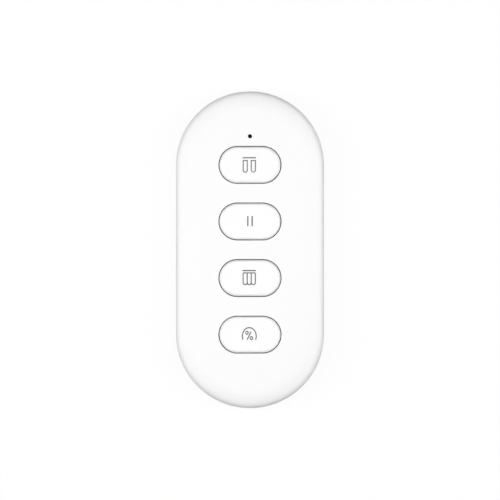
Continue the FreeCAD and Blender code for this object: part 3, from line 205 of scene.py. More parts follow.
class Shader(Nodes):
    """A material's node tree, with the textures that the finishes share."""

    def __init__(self, name: str) -> None:
        """Start a material with a principled shader on its output.

        Args:
            name: Name of the material.
        """
        self.material = bpy.data.materials.new(name)
        super().__init__(self.material)
        self.output = self.node("ShaderNodeOutputMaterial")
        self.surface = self.node("ShaderNodeBsdfPrincipled")
        self.feed(self.output.inputs["Surface"], self.surface.outputs[0])

    def place(self) -> bpy.types.NodeSocket:
        """Position on the part, in metres, the same at every pose of its body."""
        return self.node("ShaderNodeTexCoord").outputs["Object"]

    def stretched(self, x: float, y: float, z: float) -> bpy.types.NodeSocket:
        """Position with each axis multiplied, for grain that runs one way."""
        return self.node("ShaderNodeVectorMath", {"operation": "MULTIPLY"},
                         {0: self.place(), 1: (x, y, z)}).outputs[0]

    def noise(self, pitch: float, detail: float = 2.0,
              at: bpy.types.NodeSocket | None = None) -> Number:
        """Soft noise from 0 to 1, in blotches of a pitch in millimetres."""
        return self.number("ShaderNodeTexNoise", None, {
            "Vector": at or self.place(), "Scale": 1 / (pitch * MM), "Detail": detail})

    def cells(self, pitch: float) -> Number:
        """Distance to the nearest of many points scattered at a pitch, 0 to about 1."""
        return self.number("ShaderNodeTexVoronoi", None, {
            "Vector": self.place(), "Scale": 1 / (pitch * MM)}, "Distance")

    def bands(self, across: str, pitch: float) -> Number:
        """Bands across an axis at a pitch: 1 at the middle of one, 0 between two."""
        return self.number("ShaderNodeTexWave", {"bands_direction": across}, {
            "Vector": self.place(), "Scale": math.pi / (10 * pitch * MM)}, 1)

    def axis(self, name: str) -> Number:
        """One coordinate of the position, X, Y or Z, in millimetres."""
        return self.number("ShaderNodeSeparateXYZ", None, {0: self.place()}, name) / MM

    def mix(self, factor: Term, first: object, second: object) -> bpy.types.NodeSocket:
        """Blend two colours, from the first at a factor of 0 to the second at 1."""
        return self.node("ShaderNodeMix", {"data_type": "RGBA"},
                         {0: factor, 6: first, 7: second}).outputs[2]

    def bump(self, height: Number, depth: float) -> None:
        """Raise the surface by a height from 0 to 1 times a depth in millimetres."""
        self.feed(self.surface.inputs["Normal"], self.node("ShaderNodeBump", None, {
            "Strength": 1.0, "Distance": depth * MM, "Height": height}).outputs[0])

    def finish(self, **sockets: object) -> bpy.types.Material:
        """Feed the principled shader by socket name, with _ for a space."""
        for name, value in sockets.items():
            self.feed(self.surface.inputs[name.replace("_", " ")], value)
        return self.material


# --- finishes ---


@dataclass(frozen=True)
class Recipe:
    """What all finishes have: the name of their material and its main colour."""

    name: str
    colour: Colour

    def shade(self, share: float, lift: float = 0.0) -> Colour:
        """A share of the main colour, made paler by a lift."""
        return tuple(min(1.0, channel * share + lift) for channel in self.colour)


@dataclass(frozen=True)
class MouldedPlastic(Recipe):
    """Moulded plastic with fine spark texture, faint flow marks and handling wear."""

    roughness: float
    grain: float = 0.16
    depth: float = 0.009
    tone: float = 0.976
    specular: float = 0.4

    def material(self) -> bpy.types.Material:
        """Make the material.

        Returns:
            The material.
        """
        shader = Shader(self.name)
        flow = shader.noise(34.0, 3.0, shader.stretched(1.0, 0.35, 1.0))
        speck = shader.cells(self.grain)
        fine = shader.noise(self.grain * 0.6, 3.0)
        handled = shader.noise(9.0, 4.0)
        shader.bump(speck.ramp(0.0, 0.8) * 0.6 + fine * 0.4, self.depth)
        return shader.finish(
            Base_Color=shader.mix(flow.ramp(0.35, 0.7) * 0.5 + speck.ramp(0.1, 0.9) * 0.5,
                                  self.colour, self.shade(self.tone)),
            Roughness=self.roughness + (handled - 0.5) * 0.12 + (speck - 0.4) * 0.05,
            Specular_IOR_Level=self.specular, IOR=1.5)


@dataclass(frozen=True)
class CoatedKey(Recipe):
    """Satin white coat on a key, with painted shade: its flange and hollow back are
    coloured dark grey so that the gap round the key looks dark and deep.
    """

    # Dark grey of painted shade, laid on the flange and hollow back that show through the
    # gap round the key.
    bare: Colour
    coat_low: float = 11.3
    coat_fade: float = 0.05
    roughness: float = 0.36

    def material(self) -> bpy.types.Material:
        """Make the material.

        Returns:
            The material.
        """
        shader = Shader(self.name)
        speck = shader.cells(0.12)
        fine = shader.noise(0.08, 3.0)
        worn = shader.noise(5.0, 4.0)
        # 1 on the white coat above the flange, 0 below it, where the painted shade of the
        # gap goes.
        coat_above_shade = shader.axis("Z").ramp(self.coat_low - self.coat_fade,
                                       self.coat_low + self.coat_fade)
        coat = shader.mix(speck.ramp(0.1, 0.9) * worn.ramp(0.3, 0.8), self.colour,
                          self.shade(0.988))
        shader.bump(speck.ramp(0.0, 0.8) * 0.5 + fine * 0.5, 0.0025)
        return shader.finish(
            Base_Color=shader.mix(coat_above_shade, self.bare, coat),
            Roughness=self.roughness + (worn - 0.5) * 0.1 + (1.0 - coat_above_shade) * 0.2,
            Specular_IOR_Level=0.31, IOR=1.5)


@dataclass(frozen=True)
class PrintedInk(Recipe):
    """Thin pad-printed ink: slightly uneven cover and a dry, matt surface."""

    def material(self) -> bpy.types.Material:
        """Make the material.

        Returns:
            The material.
        """
        shader = Shader(self.name)
        cover = shader.noise(0.12, 4.0)
        shader.bump(cover, 0.002)
        return shader.finish(
            Base_Color=shader.mix(cover.ramp(0.5, 0.85), self.colour,
                                  self.shade(0.85, 0.07)),
            Roughness=0.62 + cover * 0.15, Specular_IOR_Level=0.25)


@dataclass(frozen=True)
class SheetMetal(Recipe):
    """Rolled or brushed metal with a grain along one axis and light tarnish."""

    tarnish: Colour
    roughness: float = 0.3
    along_x: bool = True

    def material(self) -> bpy.types.Material:
        """Make the material.

        Returns:
            The material.
        """
        shader = Shader(self.name)
        stretch = (0.04, 1.0, 1.0) if self.along_x else (1.0, 0.04, 1.0)
        grain = shader.noise(0.05, 3.0, shader.stretched(*stretch))
        stain = shader.noise(2.6, 4.0)
        shader.bump(grain, 0.002)
        return shader.finish(
            Base_Color=shader.mix(stain.ramp(0.45, 0.75) * 0.35, self.colour, self.tarnish),
            Roughness=self.roughness + grain * 0.12 + stain.ramp(0.4, 0.9) * 0.08,
            Metallic=1.0)


@dataclass(frozen=True)
class BoardLaminate(Recipe):
    """Circuit board: green mask over a glass weave, with copper runs showing through."""

    copper: Colour
    weave: float = 0.55
    run_pitch: float = 0.8
    patch: float = 7.0

    def material(self) -> bpy.types.Material:
        """Make the material.

        Returns:
            The material.
        """
        shader = Shader(self.name)
        cloth = (shader.bands("X", self.weave) + shader.bands("Y", self.weave)) * 0.5
        turned = shader.noise(self.patch, 0.0).ramp(0.49, 0.51)
        filled = shader.noise(self.patch * 0.6, 0.0).ramp(0.44, 0.46)
        along, ahead = (shader.bands(axis, self.run_pitch).ramp(0.5, 0.62) for axis in "XY")
        trace = (along * turned + ahead * (1.0 - turned)) * filled
        shader.bump(cloth * 0.25 + trace * 0.75, 0.02)
        mask = shader.mix(cloth * 0.3, self.colour, self.copper)
        return shader.finish(Base_Color=shader.mix(trace, mask, self.copper),
                             Roughness=0.28 + cloth * 0.15, Coat_Weight=0.4)


@dataclass(frozen=True)
class DarkResin(Recipe):
    """Dark moulded resin of chips and switch bodies, with a dull pitted skin."""

    roughness: float = 0.6
    dust: float = 0.06
    specular: float = 0.5

    def material(self) -> bpy.types.Material:
        """Make the material.

        Returns:
            The material.
        """
        shader = Shader(self.name)
        dust = shader.noise(1.4, 4.0)
        shader.bump(shader.cells(0.09).ramp(0.0, 0.7), 0.006)
        return shader.finish(
            Base_Color=shader.mix(dust.ramp(0.5, 0.9) * 0.5, self.colour,
                                  self.shade(0.8, self.dust)),
            Roughness=self.roughness + dust * 0.15, Specular_IOR_Level=self.specular)


@dataclass(frozen=True)
class ClearResin(Recipe):
    """Tinted see-through resin of the lamp."""

    clearness: float

    def material(self) -> bpy.types.Material:
        """Make the material.

        Returns:
            The material.
        """
        shader = Shader(self.name)
        haze = shader.noise(0.5, 3.0)
        shader.bump(haze, 0.003)
        return shader.finish(
            Base_Color=shader.mix(haze, self.colour, self.shade(1.3, 0.01)),
            Roughness=0.12 + haze * 0.12, Transmission_Weight=self.clearness, IOR=1.53)


class Finish(Enum):
    """The finishes: one for each material slot of the record, and two for the keys."""

    SHELL_PLASTIC = MouldedPlastic("shell_white", (0.93, 0.93, 0.93), 0.52, specular=0.2)
    KEY_PLASTIC = MouldedPlastic("key_white", (0.93, 0.93, 0.93), 0.36, 0.12, 0.0025)
    # The key's second colour is painted shade: dark grey on its flange and hollow back,
    # seen through the gap.
    KEY_COAT = CoatedKey("key_coat", (0.9, 0.9, 0.9), (0.1, 0.1, 0.103))
    SYMBOL_INK = PrintedInk("symbol_ink", (0.12, 0.12, 0.122))
    PAD_SILICONE = DarkResin("pad_silicone", (0.3, 0.31, 0.32), 0.72)
    SWITCH_PLASTIC = DarkResin("switch_resin", (0.03, 0.03, 0.033), 0.55)
    PLUNGER_PLASTIC = DarkResin("plunger_resin", (0.055, 0.055, 0.06), 0.42)
    COVER_STEEL = SheetMetal("cover_steel", (0.62, 0.62, 0.63), (0.5, 0.49, 0.46), 0.32)
    SPRING_STEEL = SheetMetal("spring_steel", (0.66, 0.65, 0.62), (0.55, 0.52, 0.45), 0.26,
                              False)
    CELL_STEEL = SheetMetal("cell_steel", (0.7, 0.7, 0.71), (0.6, 0.6, 0.59), 0.24)
    SCREW_STEEL = SheetMetal("screw_steel", (0.5, 0.5, 0.52), (0.38, 0.37, 0.36), 0.36)
    SOLDER_TIN = SheetMetal("solder_tin", (0.72, 0.72, 0.73), (0.58, 0.58, 0.57), 0.22)
    BOARD_LAMINATE = BoardLaminate("board_mask", (0.012, 0.12, 0.045), (0.03, 0.22, 0.09))
    ANTENNA_COPPER = SheetMetal("antenna_copper", (0.72, 0.42, 0.22), (0.45, 0.24, 0.13),
                                0.34)
    CHIP_EPOXY = DarkResin("chip_resin", (0.024, 0.024, 0.027), 0.6)
    CAPACITOR_EPOXY = DarkResin("capacitor_resin", (0.5, 0.34, 0.15), 0.5)
    LAMP_PLASTIC = ClearResin("lamp_resin", (0.9, 0.87, 0.7), 0.5)
    PIPE_PLASTIC = DarkResin("pipe_resin", (0.002, 0.002, 0.002), 0.5, 0.001, 0.03)

    @cache
    def material(self) -> bpy.types.Material:
        """The material, made when it is first asked for."""
        return self.value.material()


# --- outlines and meshes ---


def arc(middle: Point, radius: float, start: float, stop: float, steps: int) -> list[Point]:
    """Points of an arc from one angle in degrees to another, both ends included."""
    angles = [math.radians(start + (stop - start) * step / steps)
              for step in range(steps + 1)]
    return [(middle[0] + radius * math.cos(angle), middle[1] + radius * math.sin(angle))
            for angle in angles]


def mirrored(right: list[Point]) -> list[Point]:
    """A half outline and its mirror image across the middle, as one loop."""
    return right + [(-x, height) for x, height in reversed(right)]


@dataclass(frozen=True)
class Stadium:
    """Outline with two round ends; a run of 0 makes it a circle."""

    radius: float
    run: float = 0.0
    upright: bool = True
    x: float = 0.0
    y: float = 0.0
    steps: int = 48

    def points(self, inset: float = 0.0) -> list[Point]:
        """Points of the outline, anticlockwise.

        Args:
            inset: How far it is drawn in, in millimetres.

        Returns:
            The points.
        """
        radius = self.radius - inset
        found = []
        count = self.steps if self.run == 0 else self.steps + 1
        for end in (-1, 1):
            for step in range(count):
                angle = math.pi * (step / self.steps + (1 if end < 0 else 0))
                side = radius * math.cos(angle)
                ahead = radius * math.sin(angle) + end * self.run
                found.append((self.x + side, self.y + ahead) if self.upright
                             else (self.x + ahead, self.y - side))
        return found


@dataclass(frozen=True)
class Tablet:
    """Rectangle with round corners."""

    half_x: float
    half_y: float
    corner: float
    x: float = 0.0
    y: float = 0.0
    steps: int = 5
    least_corner: float = 0.02

    def points(self, inset: float = 0.0) -> list[Point]:
        """Points of the outline, anticlockwise.

        Args:
            inset: How far it is drawn in, in millimetres.

        Returns:
            The points.
        """
        corner = max(self.corner - inset, self.least_corner)
        reach_x = self.half_x - inset - corner
        reach_y = self.half_y - inset - corner
        found = []
        for quarter, (side, ahead) in enumerate(((1, 1), (-1, 1), (-1, -1), (1, -1))):
            found += arc((self.x + side * reach_x, self.y + ahead * reach_y), corner,
                         90 * quarter, 90 * (quarter + 1), self.steps)
        return found


@dataclass(frozen=True)
class Corners:
    """Outline with sharp corners, or one that is worked out point by point."""

    corners: tuple[Point, ...]

    def points(self, inset: float = 0.0) -> list[Point]:
        """The corners; a sharp outline isn't drawn in."""
        return list(self.corners)


Outline = Stadium | Tablet | Corners


class Solid:
    """A mesh under construction, in millimetres."""

    def __init__(self) -> None:
        """Start empty."""
        self.points: list[Place] = []
        self.faces: list[tuple[int, ...]] = []

    def loop(self, points: Iterable[Place]) -> Loop:
        """Add a loop of points.

        Args:
            points: The points.

        Returns:
            Their numbers.
        """
        first = len(self.points)
        self.points += points
        return list(range(first, len(self.points)))

    def skin(self, loops: list[Loop]) -> list[Loop]:
        """Join each loop to the next by a band of faces, and give the loops back."""
        for low, high in zip(loops, loops[1:]):
            for number, corner in enumerate(low):
                after = (number + 1) % len(low)
                self.faces.append((corner, low[after], high[after], high[number]))
        return loops

    def cover(self, *loops: Loop) -> None:
        """Close a flat region by triangles.

        Args:
            *loops: Its outer loop and those of its holes.
        """
        numbers = [number for loop in loops for number in loop]
        flat = [[Vector(self.points[number]) for number in loop] for loop in loops]
        for triangle in tessellate_polygon(flat):
            self.faces.append(tuple(numbers[corner] for corner in triangle))

    def close(self, loops: list[Loop]) -> "Solid":
        """Cover both ends of a skin, and give the solid back."""
        for end in (loops[0], loops[-1]):
            self.cover(end)
        return self

    def rise(self, outline: Outline, profile: Iterable[Point]) -> list[Loop]:
        """Carry an outline along a profile, which has pairs of inset and height."""
        return self.skin([self.loop((x, y, height) for x, y in outline.points(inset))
                          for inset, height in profile])

    def form(self, outline: Outline, profile: Iterable[Point]) -> "Solid":
        """Carry an outline along a profile, and close both ends."""
        return self.close(self.rise(outline, profile))

    def swell(self, outline: Outline,
              profile: Callable[[float], list[Point]]) -> list[Loop]:
        """Carry an outline along a profile that changes with the way it faces.

        Args:
            outline: Outline to carry.
            profile: Gives the insets and heights for how far it faces along y, 0 to 1.

        Returns:
            The loops, in the profile's order.
        """
        rows = []
        for (x, y), (inner_x, inner_y) in zip(outline.points(), outline.points(1.0)):
            out_x, out_y = x - inner_x, y - inner_y
            rows.append([(x - out_x * inset, y - out_y * inset, height)
                         for inset, height in profile(abs(out_y))])
        return self.skin([self.loop(column) for column in zip(*rows)])

    def slab(self, outline: Outline, low: float, high: float, edge: float = 0.0,
             holes: Sequence[Outline] = ()) -> "Solid":
        """Add a closed plate with eased edges.

        Args:
            outline: Its outline.
            low: Lower height.
            high: Upper height.
            edge: Radius of its edges.
            holes: Outlines of holes through it.

        Returns:
            The solid itself, for the next step.
        """
        profile = [(0.0, low), (0.0, high)]
        if edge:
            profile = (arc((edge, low + edge), edge, 270, 180, 3)
                       + arc((edge, high - edge), edge, 180, 90, 3))
        outward = [(-inset, height) for inset, height in profile]
        rims = [self.rise(outline, profile), *(self.rise(hole, outward) for hole in holes)]
        self.cover(*(loops[0] for loops in rims))
        self.cover(*(loops[-1] for loops in rims))
        return self

    def bar(self, section: Sequence[Point], start: float, stop: float) -> "Solid":
        """Add a closed bar along y, from its corners in x and z."""
        return self.close(self.skin([self.loop((x, ahead, z) for x, z in section)
                                     for ahead in (start, stop)]))

    def piece(self, name: str, finish: Finish | None = None) -> bpy.types.Object:
        """Turn it into an object.

        Args:
            name: Name of the piece.
            finish: Its finish, or None for a cutting tool.

        Returns:
            The object, smooth except at real edges.
        """
        mesh = bpy.data.meshes.new(name)
        mesh.from_pydata([tuple(MM * value for value in point) for point in self.points],
                         [], self.faces)
        tidy_mesh(mesh)
        made = bpy.data.objects.new(name, mesh)
        bpy.context.scene.collection.objects.link(made)
        if finish:
            mesh.materials.append(finish.material())
        return made


def tidy_mesh(mesh: bpy.types.Mesh) -> None:
    """Weld a mesh, point its faces outward and mark its real edges.

    Args:
        mesh: Mesh to tidy.
    """
    work = bmesh.new()
    work.from_mesh(mesh)
    bmesh.ops.remove_doubles(work, verts=work.verts, dist=WELD)
    bmesh.ops.recalc_face_normals(work, faces=work.faces)
    work.to_mesh(mesh)
    work.free()
    mesh.polygons.foreach_set("use_smooth", [True] * len(mesh.polygons))
    mesh.set_sharp_from_angle(angle=math.radians(SHARP))


def carve(piece: bpy.types.Object, tool: Solid, operation: str = "DIFFERENCE") -> None:
    """Cut a piece with a tool, or keep what lies inside it.

    Args:
        piece: Piece to change.
        tool: Cutting shape.
        operation: DIFFERENCE or INTERSECT.
    """
    step = piece.modifiers.new("carve", "BOOLEAN")
    step.operation = operation
    step.solver = "EXACT"
    step.object = tool.piece("tool")
    shaped = piece.evaluated_get(bpy.context.evaluated_depsgraph_get())
    mesh = bpy.data.meshes.new_from_object(shaped)
    bpy.data.objects.remove(step.object)
    piece.modifiers.clear()
    piece.data = mesh
    tidy_mesh(mesh)


def joined(name: str, *parts: bpy.types.Object) -> bpy.types.Object:
    """Join pieces of one finish into the first one.

    Args:
        name: Name of the result.
        *parts: Pieces to join.

    Returns:
        The joined piece.
    """
    work = bmesh.new()
    for part in parts:
        work.from_mesh(part.data)
    work.to_mesh(parts[0].data)
    work.free()
    for part in parts[1:]:
        bpy.data.objects.remove(part)
    tidy_mesh(parts[0].data)
    parts[0].name = name
    return parts[0]


def settle(piece: bpy.types.Object, body: str, node: str = "") -> None:
    """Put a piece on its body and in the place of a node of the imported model.

    Args:
        piece: The piece.
        body: Body that it moves with.
        node: Node that it stands for, or nothing for an added piece.
    """
    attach(piece, body)
    if node:
        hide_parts(node)
    LOG.info("%s: %d faces, on %s", piece.name, len(piece.data.polygons), body)


# --- the case ---


@dataclass
class CaseForm:
    """Sizes that the shells, the door and the screws share."""

    seam: float = 5.2
    seam_ease: float = 0.14
    wall: float = 1.8
    lip_thick: float = 0.8
    lip_gap: float = 0.1
    end_edge: float = 3.2
    side_edge: float = 2.0
    back_edge: float = 2.2
    crown_reach: float = 6.3
    end_lean: float = 25.0
    side_lean: float = 11.0
    hollow_reach: float = 7.0
    hollow_radius: float = 10.4
    support: float = 0.15
    boss_place: Point = (10.5, -39.5)
    boss_radius: float = 2.8
    post_place: Point = (14.0, 41.0)
    post_half: float = 2.0
    post_corner: float = 0.4

    def __post_init__(self) -> None:
        """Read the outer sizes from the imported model, and work out what follows."""
        low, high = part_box("front_shell")
        self.end_radius, self.half_length, self.top = (value / MM for value in high)
        self.lip_bottom = low.z / MM
        self.shelf = self.lip_bottom - self.lip_gap
        self.rebate = self.wall - self.lip_thick - self.lip_gap
        self.half_run = self.half_length - self.end_radius
        self.ceiling = self.top - self.wall
        self.outline = Stadium(self.end_radius, self.half_run, steps=96)

    def boss(self, side: int, radius: float = 0.0, steps: int = 48) -> Stadium:
        """Outline of a screw boss, right for 1 and left for -1, or of a hole in it."""
        x, y = self.boss_place
        return Stadium(radius or self.boss_radius, x=side * x, y=y, steps=steps)

    def post(self, side: int) -> Tablet:
        """Outline of a post under the board, right for 1 and left for -1."""
        x, y = self.post_place
        return Tablet(self.post_half, self.post_half, self.post_corner, side * x, y)

    def seam_edge(self, height: float, way: int) -> list[Point]:
        """Eased edge at a seam, away from it; way is 1 for upward and -1 for downward."""
        return [(self.seam_ease * inset, height + way * self.seam_ease * rise)
                for inset, rise in ((1, 0), (0.3, 0.3), (0, 1))]

    def front_profile(self, facing: float) -> list[Point]:
        """Profile of the front from the seam up to the start of its flat face.

        Args:
            facing: 0 where the outline faces a long side, 1 where it faces an end.

        Returns:
            Pairs of inset and height.
        """
        lean = self.side_lean + (self.end_lean - self.side_lean) * facing
        edge = self.side_edge + (self.end_edge - self.side_edge) * facing
        slope = math.radians(lean)
        radius = (self.crown_reach - edge * (1 - math.sin(slope))) / math.sin(slope)
        side_top = self.top - radius * (1 - math.cos(slope)) - edge * math.cos(slope)
        crown = arc((self.crown_reach, self.top - radius), radius, 90 + lean, 90, 12)
        return [*self.seam_edge(self.seam, 1),
                *arc((edge, side_top), edge, 180, 90 + lean, 14), *crown[1:],
                (self.crown_reach + self.support, self.top)]

    def tray(self, floor: float, top: float) -> Solid:
        """Shallow tray as wide as the case, from its floor's thickness and its height."""
        edge = self.back_edge
        return Solid().form(self.outline, [
            (edge + self.support, 0.0), *arc((edge, edge), edge, 270, 180, 14),
            *reversed(self.seam_edge(top, -1)), (self.rebate, top),
            (self.rebate, self.shelf), (self.wall, self.shelf), (self.wall, floor)])


@dataclass
class FrontShell:
    """Crowned front with the key openings, the indicator hole and its inner bosses."""

    form: CaseForm
    key_radius: float = 5.97
    key_run: float = 4.15
    key_gap: float = 0.3
    key_rim: float = 0.06
    hole: float = 1.35
    hole_rim: float = 0.03
    guide_low: float = 10.1
    guide_inside: float = 6.95
    guide_thick: float = 0.8
    guide_corner: float = 0.2
    bore: float = 1.0
    board_top: float = 6.6
    ease: float = 0.1
    boss_ease: float = 0.15

    def build(self, key_rows: Sequence[float]) -> None:
        """Make the shell.

        Args:
            key_rows: The keys' places along y.
        """
        form = self.form
        shell = Solid()
        lip = form.wall - form.lip_thick
        reach, hollow = form.hollow_reach, form.hollow_radius
        lowest = math.degrees(math.acos((form.wall - reach) / hollow))
        outside = shell.swell(form.outline, form.front_profile)
        inside = shell.rise(form.outline, [
            (form.seam_ease, form.seam), (lip, form.seam), (lip, form.lip_bottom),
            (form.wall, form.lip_bottom),
            *arc((reach, form.ceiling - hollow), hollow, lowest, 90, 8),
            (reach + form.support, form.ceiling)])
        lamp_y = sum(corner.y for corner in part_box("light_pipe")) / 2 / MM
        openings = [(Stadium(self.key_radius + self.key_gap, self.key_run, False, 0.0, row),
                     self.key_rim) for row in key_rows]
        openings.append((Stadium(self.hole / 2, y=lamp_y, steps=24), self.hole_rim))
        walls = [shell.rise(opening, [
            (-rim - form.support / 2, form.top),
            *arc((-rim, form.top - rim), rim, 90, 0, 4), (0.0, form.ceiling)])
            for opening, rim in openings]
        shell.cover(outside[-1], *(loops[0] for loops in walls))
        shell.cover(inside[-1], *(loops[-1] for loops in walls))
        self.add_inner_parts(shell, key_rows)
        settle(shell.piece("front_case", Finish.SHELL_PLASTIC), "case",
               "front_shell")

    def add_inner_parts(self, shell: Solid, key_rows: Sequence[float]) -> None:
        """Add the guides beside the keys, the screw bosses and the board's posts.

        Args:
            shell: Mesh to add to.
            key_rows: The keys' places along y.
        """
        form = self.form
        inside_wall = form.ceiling + form.wall / 3
        middle = self.guide_inside + self.guide_thick / 2
        for side in (1, -1):
            for row in key_rows:
                guide = Tablet(self.key_run, self.guide_thick / 2, self.guide_corner,
                               y=row + side * middle)
                shell.slab(guide, self.guide_low, inside_wall, self.ease)
            shell.slab(form.boss(side), self.board_top, inside_wall, self.boss_ease,
                       [form.boss(side, self.bore, 20)])
            shell.slab(form.post(side), self.board_top, inside_wall, self.ease)


@dataclass
class RearShell:
    """Back of the case with the door slot, the deck, the cell ring, bosses and posts."""

    form: CaseForm
    slot_half: float = 15.15
    slot_start: float = -9.85
    slot_top: float = 1.7
    groove_half: float = 16.15
    groove_low: float = 0.65
    deck_thick: float = 1.2
    deck_half: float = 17.35
    cell_y: float = -24.0
    ring_inside: float = 10.2
    ring_thick: float = 1.2
    ring_top: float = 5.3
    board_low: float = 5.6
    shaft: float = 1.2
    recess: float = 2.2
    recess_depth: float = 1.5
    pin: float = 0.8
    pin_rise: float = 1.0
    sunk: float = 0.2
    pairing_hole: Stadium = Stadium(1.6, x=12.2, y=-14.5, steps=24)
    clip_half: float = 2.4
    gap: float = 0.15
    clear: float = 0.04
    apart: float = 0.005
    ease: float = 0.1

    def __post_init__(self) -> None:
        """Work out the radii of the lower end and the heights above the deck."""
        self.end_wall = self.form.end_radius - self.form.wall - self.gap
        self.fused = self.form.end_radius - self.form.wall / 2
        self.deck_top = self.slot_top + self.deck_thick
        self.on_deck = self.deck_top - self.apart

    def build(self) -> None:
        """Make the shell."""
        form = self.form
        shell = form.tray(form.wall, form.seam).piece("rear_case", Finish.SHELL_PLASTIC)
        beyond = -form.half_length - PAST
        roof = self.slot_top + self.clear
        carve(shell, Solid().bar(mirrored([
            (self.slot_half, -PAST), (self.slot_half, self.groove_low),
            (self.groove_half, self.groove_low), (self.groove_half, roof)]),
            beyond, self.slot_start))
        window = Corners((
            (self.groove_half, self.slot_start), (-self.groove_half, self.slot_start),
            *self.end_arc(form.end_radius - form.wall, -self.groove_half,
                          self.groove_half, 32)))
        carve(shell, Solid().slab(window, self.groove_low, form.wall + self.clear))
        gate = Corners(((-self.slot_half, beyond), (self.slot_half, beyond),
                        *self.end_arc(self.end_wall, self.slot_half, -self.slot_half, 24)))
        carve(shell, Solid().slab(gate, -PAST, form.seam + PAST))
        inner = Solid()
        self.add_deck(inner)
        self.add_bosses(inner)
        settle(joined("rear_case", shell, inner.piece("rear_inner", Finish.SHELL_PLASTIC)),
               "case", "rear_shell")

    def end_arc(self, radius: float, start: float, stop: float, steps: int) -> list[Point]:
        """Points round the lower end at a radius, from one x to another."""
        first, last = (math.degrees(math.asin(x / radius)) - 90 for x in (start, stop))
        return arc((0, -self.form.half_run), radius, first, last, steps)

    def fitted_end(self, half: float) -> list[Point]:
        """Line from x = half to -half that meets the case and clears the door's end."""
        side = self.slot_half + self.clear
        return (self.end_arc(self.fused, half, side, 3)
                + self.end_arc(self.end_wall, side, -side, 32)
                + self.end_arc(self.fused, -side, -half, 3))

    def add_deck(self, inner: Solid) -> None:
        """Add the deck above the door, the wall at its end and the ring for the cell.

        Args:
            inner: Mesh to add to.
        """
        front = self.slot_start + self.deck_thick
        holes = [Stadium(self.ring_inside, y=self.cell_y), self.pairing_hole,
                 *(self.form.boss(side, self.recess, 24) for side in (1, -1))]
        inner.slab(Corners(((self.deck_half, front), (-self.deck_half, front),
                            *reversed(self.fitted_end(self.deck_half)))),
                   self.slot_top, self.deck_top, 0.0, holes)
        half = self.slot_half + self.deck_thick
        inner.slab(Corners((*self.fitted_end(half),
                            *self.end_arc(self.end_wall - self.deck_thick, -half, half,
                                          32))), self.on_deck, self.form.shelf)
        sides = []
        for radius in (self.ring_inside + self.ring_thick, self.ring_inside):
            opening = math.degrees(math.asin(self.clip_half / radius))
            sides.append(arc((0, self.cell_y), radius, opening - 180, 180 - opening, 90))
        inner.slab(Corners((*sides[0], *reversed(sides[1]))), self.on_deck, self.ring_top)

    def add_bosses(self, inner: Solid) -> None:
        """Add the screw bosses and the posts with the pins that hold the board.

        Args:
            inner: Mesh to add to.
        """
        form = self.form
        seat = self.slot_top + self.recess_depth
        for side in (1, -1):
            boss, post = form.boss(side), form.post(side)
            inner.slab(boss, seat, self.board_low, self.ease,
                       [form.boss(side, self.shaft, 20)])
            inner.slab(boss, self.on_deck, seat, 0.0, [form.boss(side, self.recess, 24)])
            inner.slab(post, form.wall - self.sunk, self.board_low, self.ease)
            pin = Stadium(self.pin, x=post.x, y=post.y, steps=16)
            inner.slab(pin, self.board_low - self.sunk, self.board_low + self.pin_rise,
                       self.ease)


@dataclass
class BatteryDoor:
    """Sliding door: plate with tongues, curved end wall, ribbed grip and a detent."""

    form: CaseForm
    half: float = 15.0
    tongue_half: float = 16.0
    tongue_low: float = 0.75
    tongue_high: float = 1.5
    thick: float = 1.4
    start: float = -10.0
    ease: float = 0.15
    grip: Stadium = Stadium(4.0, 3.5, False, y=-17.0)
    grip_depth: float = 0.5
    rib: Tablet = Tablet(3.5, 0.4, 0.38)
    rib_pitch: float = 2.2
    rib_top: float = 0.6
    rib_ease: float = 0.1
    detent: Tablet = Tablet(3.0, 0.6, 0.5, y=-12.4)
    detent_rise: float = 0.2

    def build(self) -> None:
        """Make the door."""
        top = self.form.seam - self.form.lip_gap
        door = self.form.tray(self.thick, top).piece("door_plate", Finish.SHELL_PLASTIC)
        carve(door, Solid().bar(mirrored([
            (self.half - self.ease, -PAST), (self.half - self.ease, 0),
            (self.half, self.ease), (self.half, self.tongue_low),
            (self.tongue_half, self.tongue_low), (self.tongue_half, self.tongue_high),
            (self.half, self.tongue_high), (self.half, top + PAST)]),
            -self.form.half_length - PAST, self.start), "INTERSECT")
        carve(door, Solid().slab(self.grip, -PAST, self.grip_depth))
        extra = Solid()
        for step in (-1, 0, 1):
            extra.slab(replace(self.rib, y=self.grip.y + step * self.rib_pitch),
                       self.grip_depth / 2, self.rib_top, self.rib_ease)
        extra.slab(self.detent, self.thick - self.detent_rise,
                   self.thick + self.detent_rise, self.ease)
        grips = extra.piece("door_extra", Finish.SHELL_PLASTIC)
        settle(joined("battery_cover", door, grips), "door",
               "battery_door")


# --- keys and their symbols ---


@dataclass(frozen=True)
class Stroke:
    """A printed line through points given from the key's centre."""

    points: tuple[Point, ...]
    width: float = 0.4
    closed: bool = False

    def sides(self) -> tuple[list[Vector], list[Vector]]:
        """Both sides of the line, with its corners kept sharp.

        Returns:
            The left and the right side.
        """
        points = [Vector(point) for point in self.points]
        ways = [(after - point).normalized() for point, after in zip(points, points[1:])]
        closing = [(points[0] - points[-1]).normalized()] if self.closed else []
        left, right = [], []
        for point, before, after in zip(points, (closing or ways[:1]) + ways,
                                        ways + (closing or ways[-1:])):
            along = (before + after).normalized()
            reach = self.width / 2 / max(0.5, along.dot(before))
            out = Vector((-along.y, along.x)) * reach
            left.append(point + out)
            right.append(point - out)
        return left, right

    def add_to(self, film: Solid, y: float, low: float, high: float) -> None:
        """Add the line as a thin raised film.

        Args:
            film: Mesh to add to.
            y: Place of the key.
            low: Underside of the film.
            high: Its top.
        """
        rings = [film.loop(((left.x, y + left.y, low), (left.x, y + left.y, high),
                            (right.x, y + right.y, high), (right.x, y + right.y, low)))
                 for left, right in zip(*self.sides())]
        if self.closed:
            rings.append(rings[0])
        else:
            film.faces += [tuple(rings[0]), tuple(rings[-1])]
        film.skin(rings)


